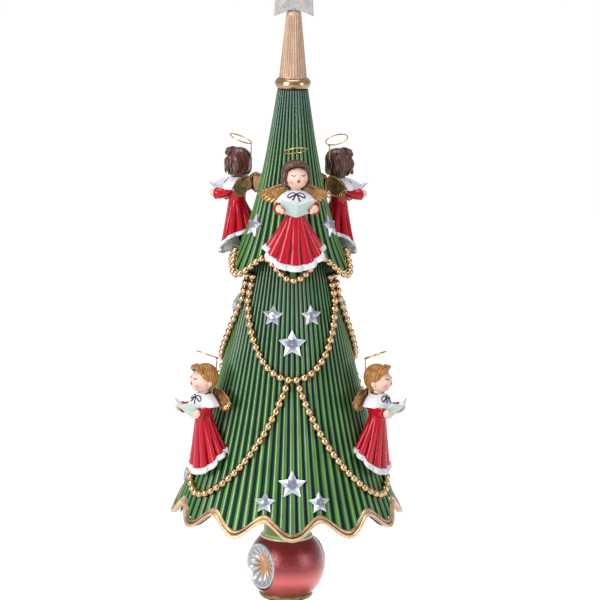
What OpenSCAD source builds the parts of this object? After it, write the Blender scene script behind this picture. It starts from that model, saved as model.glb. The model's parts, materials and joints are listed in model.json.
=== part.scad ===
// Christmas tree table centrepiece: two ribbed resin tiers with scalloped hems, six
// carol-singing angels, bead garlands and star gems, standing on a glass ornament ball.
// Millimetres and degrees. +Z is up and the origin is the centre of the felt's underside.
// Azimuth 0 is the front, towards -Y, and grows towards +X.

/* [Base] */
// Thickness of the felt pad
felt_t = 2; // [1:0.5:4]
// Radius of the felt pad
felt_r = 64; // [50:1:65]
// Radius of the plinth
plinth_r = 68; // [66:1:90]
// Height of the plinth's foot rim
plinth_rim_h = 5; // [3:0.5:8]
// Height of the plinth above the felt
plinth_h = 22; // [18:1:30]
// Radius of the stem at its waist
stem_r = 8; // [6:0.5:11]
// Radius of the stem's top and foot
stem_foot_r = 13; // [12:0.5:16]
// Height of the stem
stem_h = 18.8; // [12:0.2:40]

/* [Ornament ball] */
// Radius of the ball
ball_r = 29.4; // [26:0.2:36]
// Radius of the two cups that hold the ball
cup_r = 19.9; // [16:0.1:22]
// Height of the lower collar
collar_h = 14.7; // [12:0.1:20]
// Radius of a reflector dish
reflector_r = 17.4; // [12:0.1:18]
// Depth of a reflector's seat below the edge of its hole in the ball
reflector_d = 6.2; // [4:0.1:8]
// Azimuth of the left reflector
reflector_az = -57; // [-90:1:90]

/* [Trunk] */
// Radius of the trunk
trunk_r = 17.6; // [14:0.1:19]
// Height of the trunk from its lip to the skirt floor
trunk_h = 36; // [30:1:60]
// Height of the trunk's rolled lip
trunk_lip_h = 3.2; // [2:0.2:5]

/* [Lower tier] */
// Height of the lower tier
lower_h = 204.7; // [170:0.1:250]
// Radius at the bottom of its hem
lower_hem_r = 87.4; // [72:0.1:105]
// Radius of its top face
lower_top_r = 29; // [25:0.5:35]
// Number of scallops round its hem
lower_scallops = 12; // [6:1:16]
// Number of ribs
lower_ribs = 72; // [36:12:96]
// Height of a scallop
lower_scallop_h = 12.5; // [6:0.5:14]
// Thickness of the shell
shell_t = 6; // [4:0.5:8]
// Thickness of the skirt floor
floor_t = 5; // [3:0.5:8]
// Depth of a rib
rib_d = 1.2; // [0.6:0.1:1.6]

/* [Upper tier] */
// Height of the upper tier
upper_h = 136.3; // [110:0.1:170]
// Radius at the bottom of its hem
upper_hem_r = 47; // [44:0.1:56]
// Radius of its top face
upper_top_r = 11.4; // [10:0.2:13]
// Number of scallops round its hem
upper_scallops = 6; // [3:1:9]
// Number of ribs
upper_ribs = 36; // [18:6:48]
// Height of a scallop
upper_scallop_h = 14.5; // [8:0.5:16]
// Height of the lower tier that is hidden inside the upper one
tier_overlap = 17.6; // [16.5:0.1:30]

/* [Tip and star] */
// Height of the ring under the gold tip
ring_h = 8.7; // [6:0.1:12]
// Outer radius of that ring
ring_r = 13.3; // [12:0.1:16]
// Height of the gold tip
tip_h = 50; // [42:0.5:70]
// Radius of the tip's foot
tip_foot_r = 10.3; // [9:0.1:12]
// Radius of the tip's top
tip_top_r = 5.5; // [4.5:0.1:7]
// Outer radius of the star
star_r = 25; // [18:0.5:32]
// Thickness of the star at its centre
star_t = 13; // [9:0.5:16]
// Gap between the tip and the star's crotch
star_gap = 1.2; // [0.5:0.1:3]
// Radius of the peg that carries the star
peg_r = 1.5; // [1.2:0.1:2]
// Length of the peg inside the tip
peg_depth = 22; // [15:1:24]

/* [Fastening] */
// Radius of the tie rod
rod_r = 3; // [2.5:0.25:3.5]
// Clearance round the tie rod
rod_gap = 0.2; // [0.1:0.05:0.4]
// Running clearance round the star's peg
peg_gap = 0.05; // [0.03:0.01:0.1]
// Glue line between seated pieces
glue_gap = 0.05; // [0.02:0.01:0.1]
// Radius of the washer
washer_r = 9; // [7:0.5:11]

/* [Garlands and gems] */
// Radius of a garland bead
bead_r = 2.8; // [2:0.1:3.2]
// Gap between garland beads
bead_gap = 0.4; // [0.1:0.1:2]
// Radius of a hem bead
hem_bead_r = 2.5; // [2:0.1:3]
// Smallest gap between hem beads
hem_bead_gap = 0.2; // [0.1:0.1:2]
// Depth to which beads are bedded
bead_bed = 0.7; // [0.3:0.1:1.2]
// Outer radius of a small star gem
gem_small_r = 8.4; // [6:0.1:10]
// Outer radius of a large star gem
gem_large_r = 10.8; // [8:0.1:12]
// Outer radius of an upper tier gem
gem_upper_r = 9.4; // [7:0.1:11]

/* [Angels] */
// Height of an angel from the front of its hem to the top of its hair
angel_h = 81; // [70:1:90]
// Half the width of a skirt's hem
skirt_w = 22.6; // [18:0.2:26]
// Half the depth of a skirt's hem
skirt_d = 14; // [11:0.5:18]
// Distance from a figure's axis back to the middle of its hem
skirt_back = 4; // [0:0.5:6]
// Tilt of a halo, with its front raised
halo_tilt = 22; // [0:1:35]

/* [Hidden] */

$fn = 48;
eps = 0.5; // how far a cutter runs past the face that it opens

// Heights of the stack, from the felt up
plinth_top_z = felt_t + plinth_h;
stem_top_z = plinth_top_z + stem_h;
collar_top_z = stem_top_z + collar_h - 2;
cup_drop = sqrt(ball_r * ball_r - cup_r * cup_r); // from the ball's centre to a cup's edge
reflector_edge = sqrt(ball_r * ball_r - reflector_r * reflector_r); // to the edge of its hole
reflector_seat = reflector_edge - reflector_d;
bead_pitch = 2 * bead_r + bead_gap;
hem_bead_pitch = 2 * hem_bead_r + hem_bead_gap;
ball_z = collar_top_z + cup_drop;
trunk_z = ball_z + cup_drop - 1;
floor_z = trunk_z + trunk_h;
floor_top_z = floor_z + floor_t;
lower_z = floor_z - lower_scallop_h - 4;
lower_top_z = lower_z + lower_h;
upper_z = lower_top_z - tier_overlap;
upper_top_z = upper_z + upper_h;
tip_z = upper_top_z + ring_h;
tip_top_z = tip_z + tip_h;
star_inner_r = 0.57 * star_r;
star_z = tip_top_z + star_gap + star_inner_r;
rod_top_z = tip_z + 8;

// Fastening pocket in the underside of the plinth
pocket_r = washer_r + 1;
washer_t = 1.6;
nut_r = 5.5;
nut_h = 5;
pocket_h = washer_t + nut_h + 1;

// Shape of the tiers
lower_steady = 0.82; // share of the flare that is straight
upper_steady = 0.6;
lower_curl = 4; // power of the curve that the rest follows
upper_curl = 3.6;
hem_lip = 4; // thickness of the hem's edge
roof_t = 8;
ledge_w = 3;

function flare(t, steady, curl) = steady * t + (1 - steady) * pow(max(t, 0), curl);
function lower_r(z) = lower_top_r
    + (lower_hem_r - lower_top_r) * flare((lower_top_z - z) / lower_h, lower_steady, lower_curl);
function upper_r(z) = upper_top_r
    + (upper_hem_r - upper_top_r) * flare((upper_top_z - z) / upper_h, upper_steady, upper_curl);
// Slope of a tier's surface from the vertical, in degrees
function lower_slope(z) = atan((lower_r(z - 1) - lower_r(z + 1)) / 2);
function upper_slope(z) = atan((upper_r(z - 1) - upper_r(z + 1)) / 2);
// 0 at the bottom of a scallop and 1 at the peak between two
scallop_power = 1.8; // 2 gives a sine wave, less gives sharper peaks
function scallop(az, count) = 1 - pow(abs(cos(az * count / 2)), scallop_power);
function lower_hem_z(az) = lower_z + lower_scallop_h * scallop(az, lower_scallops);
function upper_hem_z(az) = upper_z + upper_scallop_h * scallop(az, upper_scallops);
function at(r, az, z) = [r * sin(az), -r * cos(az), z];

floor_r = lower_r(floor_top_z) - shell_t - glue_gap;

// Garland routes
upper_swag_az = 54; // half the width of an upper swag
upper_swag_top_z = upper_z + 2;
upper_swag_z = upper_swag_top_z - 75;
upper_swag_rise = 54; // from the bottom of a swag to the foot of its straight legs
lower_swag_az = 55.7;
lower_swag_top_z = upper_swag_z - bead_pitch / 2;
lower_swag_z = lower_z + 24.6;
lower_swag_rise = lower_swag_top_z - lower_swag_z;
lower_swag_power = 1.72;

// Where the angels stand
angel_k = angel_h / 81;
UPPER = 0;
LOWER = 1;
upper_angel_z = upper_z + 9.2;
lower_angel_z = lower_z + 41.2;
upper_angel_out = 10.5; // from the tier's surface at the knees to the figure's axis
left_angel_out = 14; // the same for the upper left figure, which stands farther out
front_angel_az = 1.5; // the front figure stands a little off the centre line
left_angel_az = -120;
lower_angel_out = 11.5;
knee_h = 27;
function tier_r(tier, z) = tier == UPPER ? upper_r(z) : lower_r(z);
function angel_z(tier) = tier == UPPER ? upper_angel_z : lower_angel_z;
function angel_out(az, tier) = tier == LOWER ? lower_angel_out
    : az == left_angel_az ? left_angel_out : upper_angel_out;
function angel_r(az, tier) = tier_r(tier, angel_z(tier) + knee_h * angel_k) + angel_out(az, tier);
lower_rise = 2; // how much taller the lower figures are above the skirt
function rise(tier) = tier == LOWER ? lower_rise : 0;
lower_skirt = 0.86; // width of a lower figure's hem as a share of an upper one's
function hem_share(tier) = tier == LOWER ? lower_skirt : 1;
angel_bed = 2.5; // depth to which a skirt's back is bedded in the tier

// Colours
rib_green = [0.20, 0.42, 0.17];
gold = [0.80, 0.60, 0.36];
pale_gold = [0.78, 0.66, 0.52];
robe_red = [0.75, 0.02, 0.10];
fur_white = [0.90, 0.90, 0.92];
skin = [0.93, 0.80, 0.72];
brown_hair = [0.33, 0.19, 0.16];
fair_hair = [0.66, 0.48, 0.20];
mint = [0.74, 0.86, 0.80];
clear_gem = [0.82, 0.85, 0.90];
steel = [0.62, 0.63, 0.65];

// A closed grid: rows of points, anticlockwise round an axis and from its top to its bottom,
// each row the same length, with a fanned cap over the first and last rows
module loft(rows, first_cap, last_cap) {
    n = len(rows[0]);
    m = len(rows);
    points = concat([for (row = rows) each row], [first_cap, last_cap]);
    sides = [for (j = [0 : m - 2], i = [0 : n - 1])
        each [[j * n + i, (j + 1) * n + (i + 1) % n, (j + 1) * n + i],
              [j * n + i, j * n + (i + 1) % n, (j + 1) * n + (i + 1) % n]]];
    first = [for (i = [0 : n - 1]) [i, m * n, (i + 1) % n]];
    last = [for (i = [0 : n - 1]) [(m - 1) * n + (i + 1) % n, m * n + 1, (m - 1) * n + i]];
    polyhedron(points, concat(sides, first, last), convexity = 6);
}

// A cylinder or cone between two points, with a ball on its far end
module limb(a, b, ra, rb) {
    v = b - a;
    translate(a)
        rotate([0, acos(v[2] / norm(v)), atan2(v[1], v[0])])
            cylinder(h = norm(v), r1 = ra, r2 = rb);
    translate(b) sphere(rb);
}

// Places its children on a bench azimuth, with -Y pointing out of the tree
module place(az, r, z, tilt = 0) {
    rotate([0, 0, az]) translate([0, -r, z]) rotate([-tilt, 0, 0]) children();
}

module rod_bore(z0, z1) {
    translate([0, 0, z0 - eps]) cylinder(h = z1 - z0 + 2 * eps, r = rod_r + rod_gap);
}

module felt_pad() {
    color("darkgreen") cylinder(h = felt_t, r = felt_r, $fn = 96);
}

module base_plinth() {
    dome_r = plinth_r - 5;
    dome_h = plinth_h - plinth_rim_h;
    dome_foot = stem_foot_r + 1;
    outline = concat(
        [[0, 0], [plinth_r - 1.5, 0], [plinth_r, 1.5], [plinth_r, plinth_rim_h - 1.5],
            [plinth_r - 1.5, plinth_rim_h], [dome_r, plinth_rim_h]],
        [for (a = [9 : 9 : 90])
            [dome_foot + (dome_r - dome_foot) * cos(a), plinth_rim_h + dome_h * sin(a)]],
        [[0, plinth_h]]);
    color(rib_green) difference() {
        translate([0, 0, felt_t]) rotate_extrude($fn = 96) polygon(outline);
        translate([0, 0, felt_t - eps]) cylinder(h = pocket_h + eps, r = pocket_r);
        rod_bore(felt_t, plinth_top_z);
    }
}

module base_stem() {
    outline = concat(
        [[0, 0], [stem_foot_r, 0], [stem_foot_r, 3]],
        [for (a = [0 : 10 : 180])
            [stem_foot_r - (stem_foot_r - stem_r) * sin(a), 3 + (stem_h - 6) * a / 180]],
        [[stem_foot_r, stem_h], [0, stem_h]]);
    color(gold) difference() {
        translate([0, 0, plinth_top_z]) rotate_extrude() polygon(outline);
        rod_bore(plinth_top_z, stem_top_z);
    }
}

module rod_washer() {
    color(steel) translate([0, 0, felt_t + pocket_h - washer_t]) difference() {
        cylinder(h = washer_t, r = washer_r);
        translate([0, 0, -eps]) cylinder(h = washer_t + 2 * eps, r = rod_r + rod_gap);
    }
}

module rod_nut() {
    color(steel) translate([0, 0, felt_t + pocket_h - washer_t - nut_h]) difference() {
        cylinder(h = nut_h, r = nut_r, $fn = 6);
        translate([0, 0, -eps]) cylinder(h = nut_h + 2 * eps, r = rod_r);
    }
}

module tie_rod() {
    z0 = felt_t + 0.5;
    color(steel) translate([0, 0, z0]) cylinder(h = rod_top_z - z0, r = rod_r);
}

module ball_clearance() {
    translate([0, 0, ball_z]) sphere(ball_r + glue_gap, $fn = 96);
}

module lower_collar() {
    outline = concat(
        [[0, 0], [stem_foot_r - 1, 0]],
        [for (a = [0 : 10 : 90])
            [cup_r - (cup_r - stem_foot_r + 1) * cos(a), (collar_h - 5) * sin(a)]],
        [[cup_r + 0.6, collar_h - 4], [cup_r + 0.6, collar_h - 2.6], [cup_r, collar_h - 2],
            [0, collar_h - 2]]);
    color([0.47, 0.45, 0.24]) difference() {
        translate([0, 0, stem_top_z]) rotate_extrude($fn = 72) polygon(outline);
        ball_clearance();
        rod_bore(stem_top_z, collar_top_z);
    }
}

module reflector_axis(az) {
    translate([0, 0, ball_z]) rotate([0, 0, az]) rotate([90, 0, 0]) children();
}

module ornament_ball() {
    color([0.65, 0.12, 0.14]) difference() {
        translate([0, 0, ball_z]) sphere(ball_r, $fn = 96);
        rod_bore(ball_z - ball_r, ball_z + ball_r);
        for (az = [reflector_az, reflector_az + 180])
            reflector_axis(az)
                translate([0, 0, reflector_seat]) cylinder(h = ball_r, r = reflector_r + glue_gap);
    }
}

// A dish with a flat back, a raised rim and a hollow face
module reflector(az) {
    rim_h = reflector_d + 0.8;
    outline = concat(
        [[0, 0], [reflector_r, 0], [reflector_r, rim_h], [reflector_r - 1.6, rim_h]],
        [for (a = [0 : 10 : 90])
            [(reflector_r - 2) * cos(a), rim_h - 0.6 - (rim_h - 2.2) * sin(a)]]);
    color("silver") reflector_axis(az)
        translate([0, 0, reflector_seat]) rotate_extrude($fn = 72) polygon(outline);
}

module trunk_collar() {
    outline = concat(
        [[0, 0], [cup_r - 1, 0]],
        [for (a = [-60 : 30 : 90]) [cup_r - 1.4 + 1.4 * cos(a), 1.6 + 1.6 * sin(a)]],
        [[trunk_r, trunk_lip_h + 1.6], [trunk_r, trunk_h], [0, trunk_h]]);
    color([0.42, 0.54, 0.12]) difference() {
        translate([0, 0, trunk_z]) rotate_extrude($fn = 72) polygon(outline);
        ball_clearance();
        rod_bore(trunk_z, floor_z);
    }
}

module skirt_floor() {
    color("dimgray") difference() {
        translate([0, 0, floor_z]) cylinder(h = floor_t, r = floor_r, $fn = 96);
        rod_bore(floor_z, floor_top_z);
    }
}

// Rows of points for a ribbed shell: down its outside, round its hem and up its inside
lower_seg = 2 * lower_ribs;
lower_rows = 14;
module lower_tier() {
    step = 360 / lower_seg;
    outside = [for (j = [0 : lower_rows]) [for (i = [0 : lower_seg - 1])
        let (az = i * step,
            z = lower_top_z + (lower_hem_z(az) - lower_top_z) * j / lower_rows,
            groove = j == lower_rows ? 0 : rib_d * (i % 2))
        at(lower_r(z) - groove, az, z)]];
    hem_inside = [for (i = [0 : lower_seg - 1])
        at(lower_r(lower_hem_z(i * step)) - hem_lip, i * step, lower_hem_z(i * step) + 0.6)];
    ledge = [for (r = [floor_r + glue_gap, floor_r - ledge_w])
        [for (i = [0 : lower_seg - 1]) at(r, i * step, floor_top_z)]];
    cavity_z = [floor_top_z + (lower_top_z - roof_t - floor_top_z) / 3,
        floor_top_z + 2 * (lower_top_z - roof_t - floor_top_z) / 3, lower_top_z - roof_t];
    cavity = [for (z = cavity_z)
        [for (i = [0 : lower_seg - 1]) at(lower_r(z) - shell_t - rib_d, i * step, z)]];
    color(rib_green) difference() {
        loft(concat(outside, [hem_inside], ledge, cavity),
            [0, 0, lower_top_z], [0, 0, lower_top_z - roof_t]);
        rod_bore(lower_top_z - roof_t, lower_top_z);
    }
}

upper_seg = 2 * upper_ribs;
upper_rows = 12;
module upper_tier() {
    step = 360 / upper_seg;
    outside = [for (j = [0 : upper_rows]) [for (i = [0 : upper_seg - 1])
        let (az = i * step,
            z = upper_top_z + (upper_hem_z(az) - upper_top_z) * j / upper_rows,
            groove = j == upper_rows ? 0 : rib_d * (i % 2))
        at(upper_r(z) - groove, az, z)]];
    hem_inside = [for (i = [0 : upper_seg - 1])
        at(upper_r(upper_hem_z(i * step)) - hem_lip, i * step, upper_hem_z(i * step) + 0.6)];
    roof = [for (i = [0 : upper_seg - 1])
        at(upper_r(lower_top_z) - hem_lip - rib_d, i * step, lower_top_z)];
    color(rib_green) difference() {
        loft(concat(outside, [hem_inside, roof]), [0, 0, upper_top_z], [0, 0, lower_top_z]);
        rod_bore(lower_top_z, upper_top_z);
    }
}

module tip_ring() {
    half = ring_h / 2;
    outline = concat(
        [[0, 0], [ring_r - half, 0]],
        [for (a = [-80 : 10 : 80]) [ring_r - half + half * cos(a), half + half * sin(a)]],
        [[ring_r - half, ring_h], [0, ring_h]]);
    color(gold) difference() {
        translate([0, 0, upper_top_z]) rotate_extrude($fn = 72) polygon(outline);
        rod_bore(upper_top_z, tip_z);
    }
}

module gold_tip() {
    dome_h = 2.4;
    outline = concat(
        [[0, 0], [tip_foot_r, 0]],
        [for (a = [0 : 15 : 90]) [tip_top_r * cos(a), tip_h - dome_h + dome_h * sin(a)]]);
    color(pale_gold) difference() {
        translate([0, 0, tip_z]) rotate_extrude($fn = 72) polygon(outline);
        translate([0, 0, tip_z - eps])
            cylinder(h = rod_top_z - tip_z + glue_gap + eps, r = rod_r + rod_gap);
        translate([0, 0, tip_top_z - peg_depth - 1]) cylinder(h = peg_depth + 2, r = peg_r + peg_gap);
    }
}

peg_top_z = star_z - star_inner_r + 8;
module star_peg() {
    z0 = tip_top_z - peg_depth;
    color(steel) translate([0, 0, z0]) cylinder(h = peg_top_z - z0, r = peg_r);
}

// Outline of a five-pointed star in the XZ plane, with one point up
function star_outline(r_out, r_in, y) =
    [for (i = [0 : 9]) let (r = i % 2 == 0 ? r_out : r_in) [r * sin(36 * i), y, r * cos(36 * i)]];

module top_star() {
    edge = 3.5;
    color(fur_white) translate([0, 0, star_z]) difference() {
        loft([star_outline(star_r, star_inner_r, -edge), star_outline(star_r, star_inner_r, edge)],
            [0, -star_t / 2, 0], [0, star_t / 2, 0]);
        translate([0, 0, -star_inner_r - eps])
            cylinder(h = peg_top_z - star_z + star_inner_r + eps, r = peg_r);
    }
}

// Distance along a route to each of its points
function route_lengths(p, i = 0, total = 0, out = [0]) = i >= len(p) - 1 ? out
    : let (next = total + norm(p[i + 1] - p[i]))
        route_lengths(p, i + 1, next, concat(out, [next]));
function point_at(p, s, d) =
    let (i = max([for (k = [0 : len(p) - 2]) s[k] <= d ? k : 0]))
    p[i] + (p[i + 1] - p[i]) * (d - s[i]) / (s[i + 1] - s[i]);
// Points along a route at an even pitch, the first half a pitch from its start
function spaced(p, pitch) =
    let (s = route_lengths(p), total = s[len(s) - 1])
    [for (d = [pitch / 2 : pitch : total]) point_at(p, s, d)];

// Half of an upper swag, from the middle of its bottom to the top of its leg
upper_swag_half = concat(
    [for (az = [0 : 3 : upper_swag_az])
        let (z = upper_swag_z + upper_swag_rise * pow(az / upper_swag_az, 2))
        at(lower_r(z) + bead_r - bead_bed, az, z)],
    [at(lower_r(upper_swag_top_z) + bead_r - bead_bed, upper_swag_az, upper_swag_top_z)]);
lower_swag_half =
    [for (w = [0 : lower_swag_az / 20 : lower_swag_az])
        let (z = lower_swag_z + lower_swag_rise * pow(w / lower_swag_az, lower_swag_power))
        at(lower_r(z) + bead_r - bead_bed, w, z)];

// Beads evenly down both halves of a swag, with two side by side at the bottom
module swag(az, half_route) {
    lengths = route_lengths(half_route);
    total = lengths[len(lengths) - 1];
    count = floor(total / bead_pitch);
    color(gold) rotate([0, 0, az])
        for (side = [-1, 1], p = spaced(half_route, total / count))
            translate([side * p[0], p[1], p[2]]) sphere(bead_r, $fn = 24);
}

// One scallop of beads, repeated round the upper hem
module hem_beads() {
    span = 360 / upper_scallops;
    scallop_route = [for (az = [-span / 2 : span / 40 : span / 2])
        let (z = upper_hem_z(az) + 1)
        at(upper_r(z) + hem_bead_r - bead_bed, az, z)];
    lengths = route_lengths(scallop_route);
    total = lengths[len(lengths) - 1];
    count = floor(total / hem_bead_pitch);
    color(gold) for (k = [0 : upper_scallops - 1])
        rotate([0, 0, k * span])
            for (p = spaced(scallop_route, total / count))
                translate(p) sphere(hem_bead_r, $fn = 24);
}

// A star gem with a flat back on the tier's surface and a raised centre
module gem(r_out) {
    back = 1;
    girdle = -1.2;
    crown = -3.4;
    loft([star_outline(r_out, 0.52 * r_out, girdle), star_outline(r_out, 0.52 * r_out, back)],
        [0, crown, 0], [0, back, 0]);
}

module lower_gem(az, z, r_out) {
    place(az, lower_r(z), z, lower_slope(z)) gem(r_out);
}

module panel_gems(az) {
    color(clear_gem) {
        for (side = [-1, 1]) {
            lower_gem(az + 20.5 * side, lower_top_z - 45.3, gem_small_r);
            lower_gem(az + 15 * side, lower_z + 26.5, gem_small_r);
        }
        lower_gem(az, lower_top_z - 65.4, gem_large_r);
        lower_gem(az, lower_z + 39.4, gem_large_r);
    }
}

module upper_tier_gems() {
    z = upper_z + 36;
    color(clear_gem) for (az = [60, 180, 300])
        place(az, upper_r(z), z, upper_slope(z)) gem(gem_upper_r);
}

// Angels are drawn at a height of 81 and scaled to angel_h. Their own frame has its origin
// on the figure's axis at the front of the hem, with -Y to the front
module angel(az, tier) {
    rotate([0, 0, az]) translate([0, -angel_r(az, tier), angel_z(tier)]) scale(angel_k) children();
}

pleats = 9;
robe_seg = 36;
waist_h = 40;
waist_w = 7; // half the width of the waist
waist_d = 6.5; // half its depth
hem_side_h = 13; // height of the hem at a figure's sides
hem_front_drop = 14.2; // how far the hem's front hangs below that
hem_back_lift = 6.5; // how far its back is above it
pleat_depth = 0.035; // as a share of the skirt's radius
neck_h = 57.5;
// Moves a point of a skirt out of the tree, as far as the bed of its tier
function clear_of_tree(p, az, tier) =
    let (x = p[0] * angel_k, y = p[1] * angel_k - angel_r(az, tier), z = p[2] * angel_k + angel_z(tier),
        r = norm([x, y]),
        k = max(1, (tier_r(tier, z) - angel_bed) / r))
    [x * k / angel_k, (y * k + angel_r(az, tier)) / angel_k, p[2]];
function skirt_point(a, t, az, tier) =
    let (top = [waist_w * sin(a), -waist_d * cos(a), waist_h + rise(tier)],
        rim_h = hem_side_h - (a > 90 && a < 270 ? hem_back_lift : hem_front_drop) * cos(a),
        pleat = 1 + pleat_depth * cos(a * pleats) * min(1, 2 * t),
        half_w = skirt_w * hem_share(tier) / angel_k,
        half_d = skirt_d * hem_share(tier) / angel_k,
        rim = [half_w * sin(a), skirt_back / angel_k - half_d * cos(a), rim_h],
        spread = 0.75 * t + 0.25 * t * t)
    clear_of_tree([(top[0] + (rim[0] - top[0]) * spread) * pleat,
        (top[1] + (rim[1] - top[1]) * spread) * pleat, top[2] + (rim[2] - top[2]) * t], az, tier);

// The robe and cape as one casting, with sleeves and hands
module robe(az, tier) {
    chest = [for (row = [[neck_h, 5, 5], [neck_h - 1.5, 7.5, 6.5], [51, 12.8, 9.5],
            [48.5, 14.4, 10.5], [48.4, 9, 7.2], [44, 7, 6.2]])
        [for (i = [0 : robe_seg - 1]) let (a = i * 360 / robe_seg)
            [row[1] * sin(a), -row[2] * cos(a), row[0] + rise(tier)]]];
    skirt = [for (t = [0 : 0.2 : 1])
        [for (i = [0 : robe_seg - 1]) skirt_point(i * 360 / robe_seg, t, az, tier)]];
    angel(az, tier) {
        color(robe_red) loft(concat(chest, skirt), [0, 0, neck_h + rise(tier)], [0, -2, 12]);
        translate([0, 0, rise(tier)]) for (side = [-1, 1]) {
            color(robe_red) limb([side * 8, -1, 49], [side * 11.6, -8.5, 45.5], 4, 4.4);
            color(skin) translate([side * 13, -14, 46.5]) sphere(3.2, $fn = 32);
        }
    }
}

module head(az, tier) {
    hair = tier == UPPER ? brown_hair : fair_hair;
    angel(az, tier) translate([0, 0, rise(tier)]) {
        color(skin) {
            translate([0, 0, neck_h]) cylinder(h = 5, r = 4);
            translate([0, -2, 67.5]) sphere(8.6);
        }
        color(hair) difference() {
            translate([0, 0.6, 70.2]) sphere(10.4);
            translate([0, -3, 67]) rotate([90, 0, 0]) cylinder(h = 10, r = 8.8);
        }
    }
}

// Two feathered wings, joined behind the shoulders
module wings(az, tier) {
    feathers = [[-3, 58], [6, 61], [13, 60], [21, 57], [28.5, 52.5], [25, 49.5], [20, 47],
        [14, 45], [8, 45], [-3, 49]];
    spread = tier == UPPER ? 1 : 0.76;
    angel(az, tier) color([0.72, 0.52, 0.28]) for (side = [0, 1])
        mirror([side, 0, 0]) translate([0, 11.5, rise(tier)]) rotate([90, 0, 0])
            linear_extrude(2) polygon([for (p = feathers) [max(-3, p[0] * spread), p[1]]]);
}

// An open book, its spine outwards and its covers towards the viewer
module songbook(az, tier) {
    cover_w = 13;
    book_h = 16.8;
    angel(az, tier) color(mint) translate([0, -9.5, 39 + rise(tier)]) rotate([48, 0, 0]) for (side = [0, 1])
        mirror([side, 0, 0]) rotate([0, 0, 23]) translate([-0.4, 0, 0]) cube([cover_w + 0.4, 1.2, book_h]);
}

module halo(az, tier) {
    halo_r = 8.5;
    wire_r = 0.45;
    halo_h = 83.5;
    back_y = 2 + halo_r;
    angel(az, tier) translate([0, 0, rise(tier)]) color(gold) {
        translate([0, back_y, halo_h]) rotate([-halo_tilt, 0, 0]) translate([0, -halo_r, 0])
            rotate_extrude($fn = 48) translate([halo_r, 0]) circle(wire_r, $fn = 16);
        translate([0, back_y, 72]) cylinder(h = halo_h - 72, r = wire_r, $fn = 16);
    }
}

felt_pad();
base_plinth();
base_stem();
rod_nut();
rod_washer();
tie_rod();
lower_collar();
ornament_ball();
reflector(reflector_az);  // reflector_left
reflector(reflector_az + 180);  // reflector_right
trunk_collar();
skirt_floor();
lower_tier();
upper_tier();
tip_ring();
gold_tip();
star_peg();
top_star();
swag(0, upper_swag_half);  // upper_garland_front
swag(120, upper_swag_half);  // upper_garland_right
swag(-120, upper_swag_half);  // upper_garland_left
swag(60, lower_swag_half);  // lower_garland_right
swag(-60, lower_swag_half);  // lower_garland_left
swag(180, lower_swag_half);  // lower_garland_back
hem_beads();
panel_gems(0);  // front_gems
panel_gems(120);  // right_gems
panel_gems(-120);  // left_gems
upper_tier_gems();
robe(front_angel_az, UPPER);  // upper_front_robe
head(front_angel_az, UPPER);  // upper_front_head
wings(front_angel_az, UPPER);  // upper_front_wings
songbook(front_angel_az, UPPER);  // upper_front_songbook
halo(front_angel_az, UPPER);  // upper_front_halo
robe(120, UPPER);  // upper_right_robe
head(120, UPPER);  // upper_right_head
wings(120, UPPER);  // upper_right_wings
songbook(120, UPPER);  // upper_right_songbook
halo(120, UPPER);  // upper_right_halo
robe(left_angel_az, UPPER);  // upper_left_robe
head(left_angel_az, UPPER);  // upper_left_head
wings(left_angel_az, UPPER);  // upper_left_wings
songbook(left_angel_az, UPPER);  // upper_left_songbook
halo(left_angel_az, UPPER);  // upper_left_halo
robe(60, LOWER);  // lower_right_robe
head(60, LOWER);  // lower_right_head
wings(60, LOWER);  // lower_right_wings
songbook(60, LOWER);  // lower_right_songbook
halo(60, LOWER);  // lower_right_halo
robe(-60, LOWER);  // lower_left_robe
head(-60, LOWER);  // lower_left_head
wings(-60, LOWER);  // lower_left_wings
songbook(-60, LOWER);  // lower_left_songbook
halo(-60, LOWER);  // lower_left_halo
robe(180, LOWER);  // lower_back_robe
head(180, LOWER);  // lower_back_head
wings(180, LOWER);  // lower_back_wings
songbook(180, LOWER);  // lower_back_songbook
halo(180, LOWER);  // lower_back_halo
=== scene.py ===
"""Looks of the Christmas tree centrepiece: ribbed tiers, bead garlands, star gems and singing angels.

Shapes are worked out in millimetres in the CAD frame and written to meshes in metres.
Azimuth 0 is the front, towards -Y, and grows towards +X.
"""
import json
import math

import bmesh
import bpy
import numpy as np
from mathutils import Matrix, Vector

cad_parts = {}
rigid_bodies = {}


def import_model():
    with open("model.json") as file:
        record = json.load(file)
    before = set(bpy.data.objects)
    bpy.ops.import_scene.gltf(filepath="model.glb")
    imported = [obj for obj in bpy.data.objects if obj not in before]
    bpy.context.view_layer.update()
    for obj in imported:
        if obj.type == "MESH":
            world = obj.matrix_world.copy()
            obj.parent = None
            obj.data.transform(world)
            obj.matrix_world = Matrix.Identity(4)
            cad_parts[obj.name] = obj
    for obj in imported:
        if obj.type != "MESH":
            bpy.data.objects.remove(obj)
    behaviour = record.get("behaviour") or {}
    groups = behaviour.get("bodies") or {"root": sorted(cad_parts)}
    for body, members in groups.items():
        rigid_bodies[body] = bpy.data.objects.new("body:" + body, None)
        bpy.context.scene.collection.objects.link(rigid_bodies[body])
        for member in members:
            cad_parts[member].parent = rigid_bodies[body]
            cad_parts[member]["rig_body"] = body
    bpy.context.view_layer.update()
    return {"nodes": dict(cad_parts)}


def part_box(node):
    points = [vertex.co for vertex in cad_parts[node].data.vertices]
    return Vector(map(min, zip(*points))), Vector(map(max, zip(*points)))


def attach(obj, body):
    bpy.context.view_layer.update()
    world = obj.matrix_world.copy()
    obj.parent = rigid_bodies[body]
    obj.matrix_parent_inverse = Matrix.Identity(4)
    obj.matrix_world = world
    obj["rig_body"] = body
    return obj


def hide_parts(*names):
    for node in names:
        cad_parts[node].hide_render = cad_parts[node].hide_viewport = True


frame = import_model()
MM = 0.001


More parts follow.
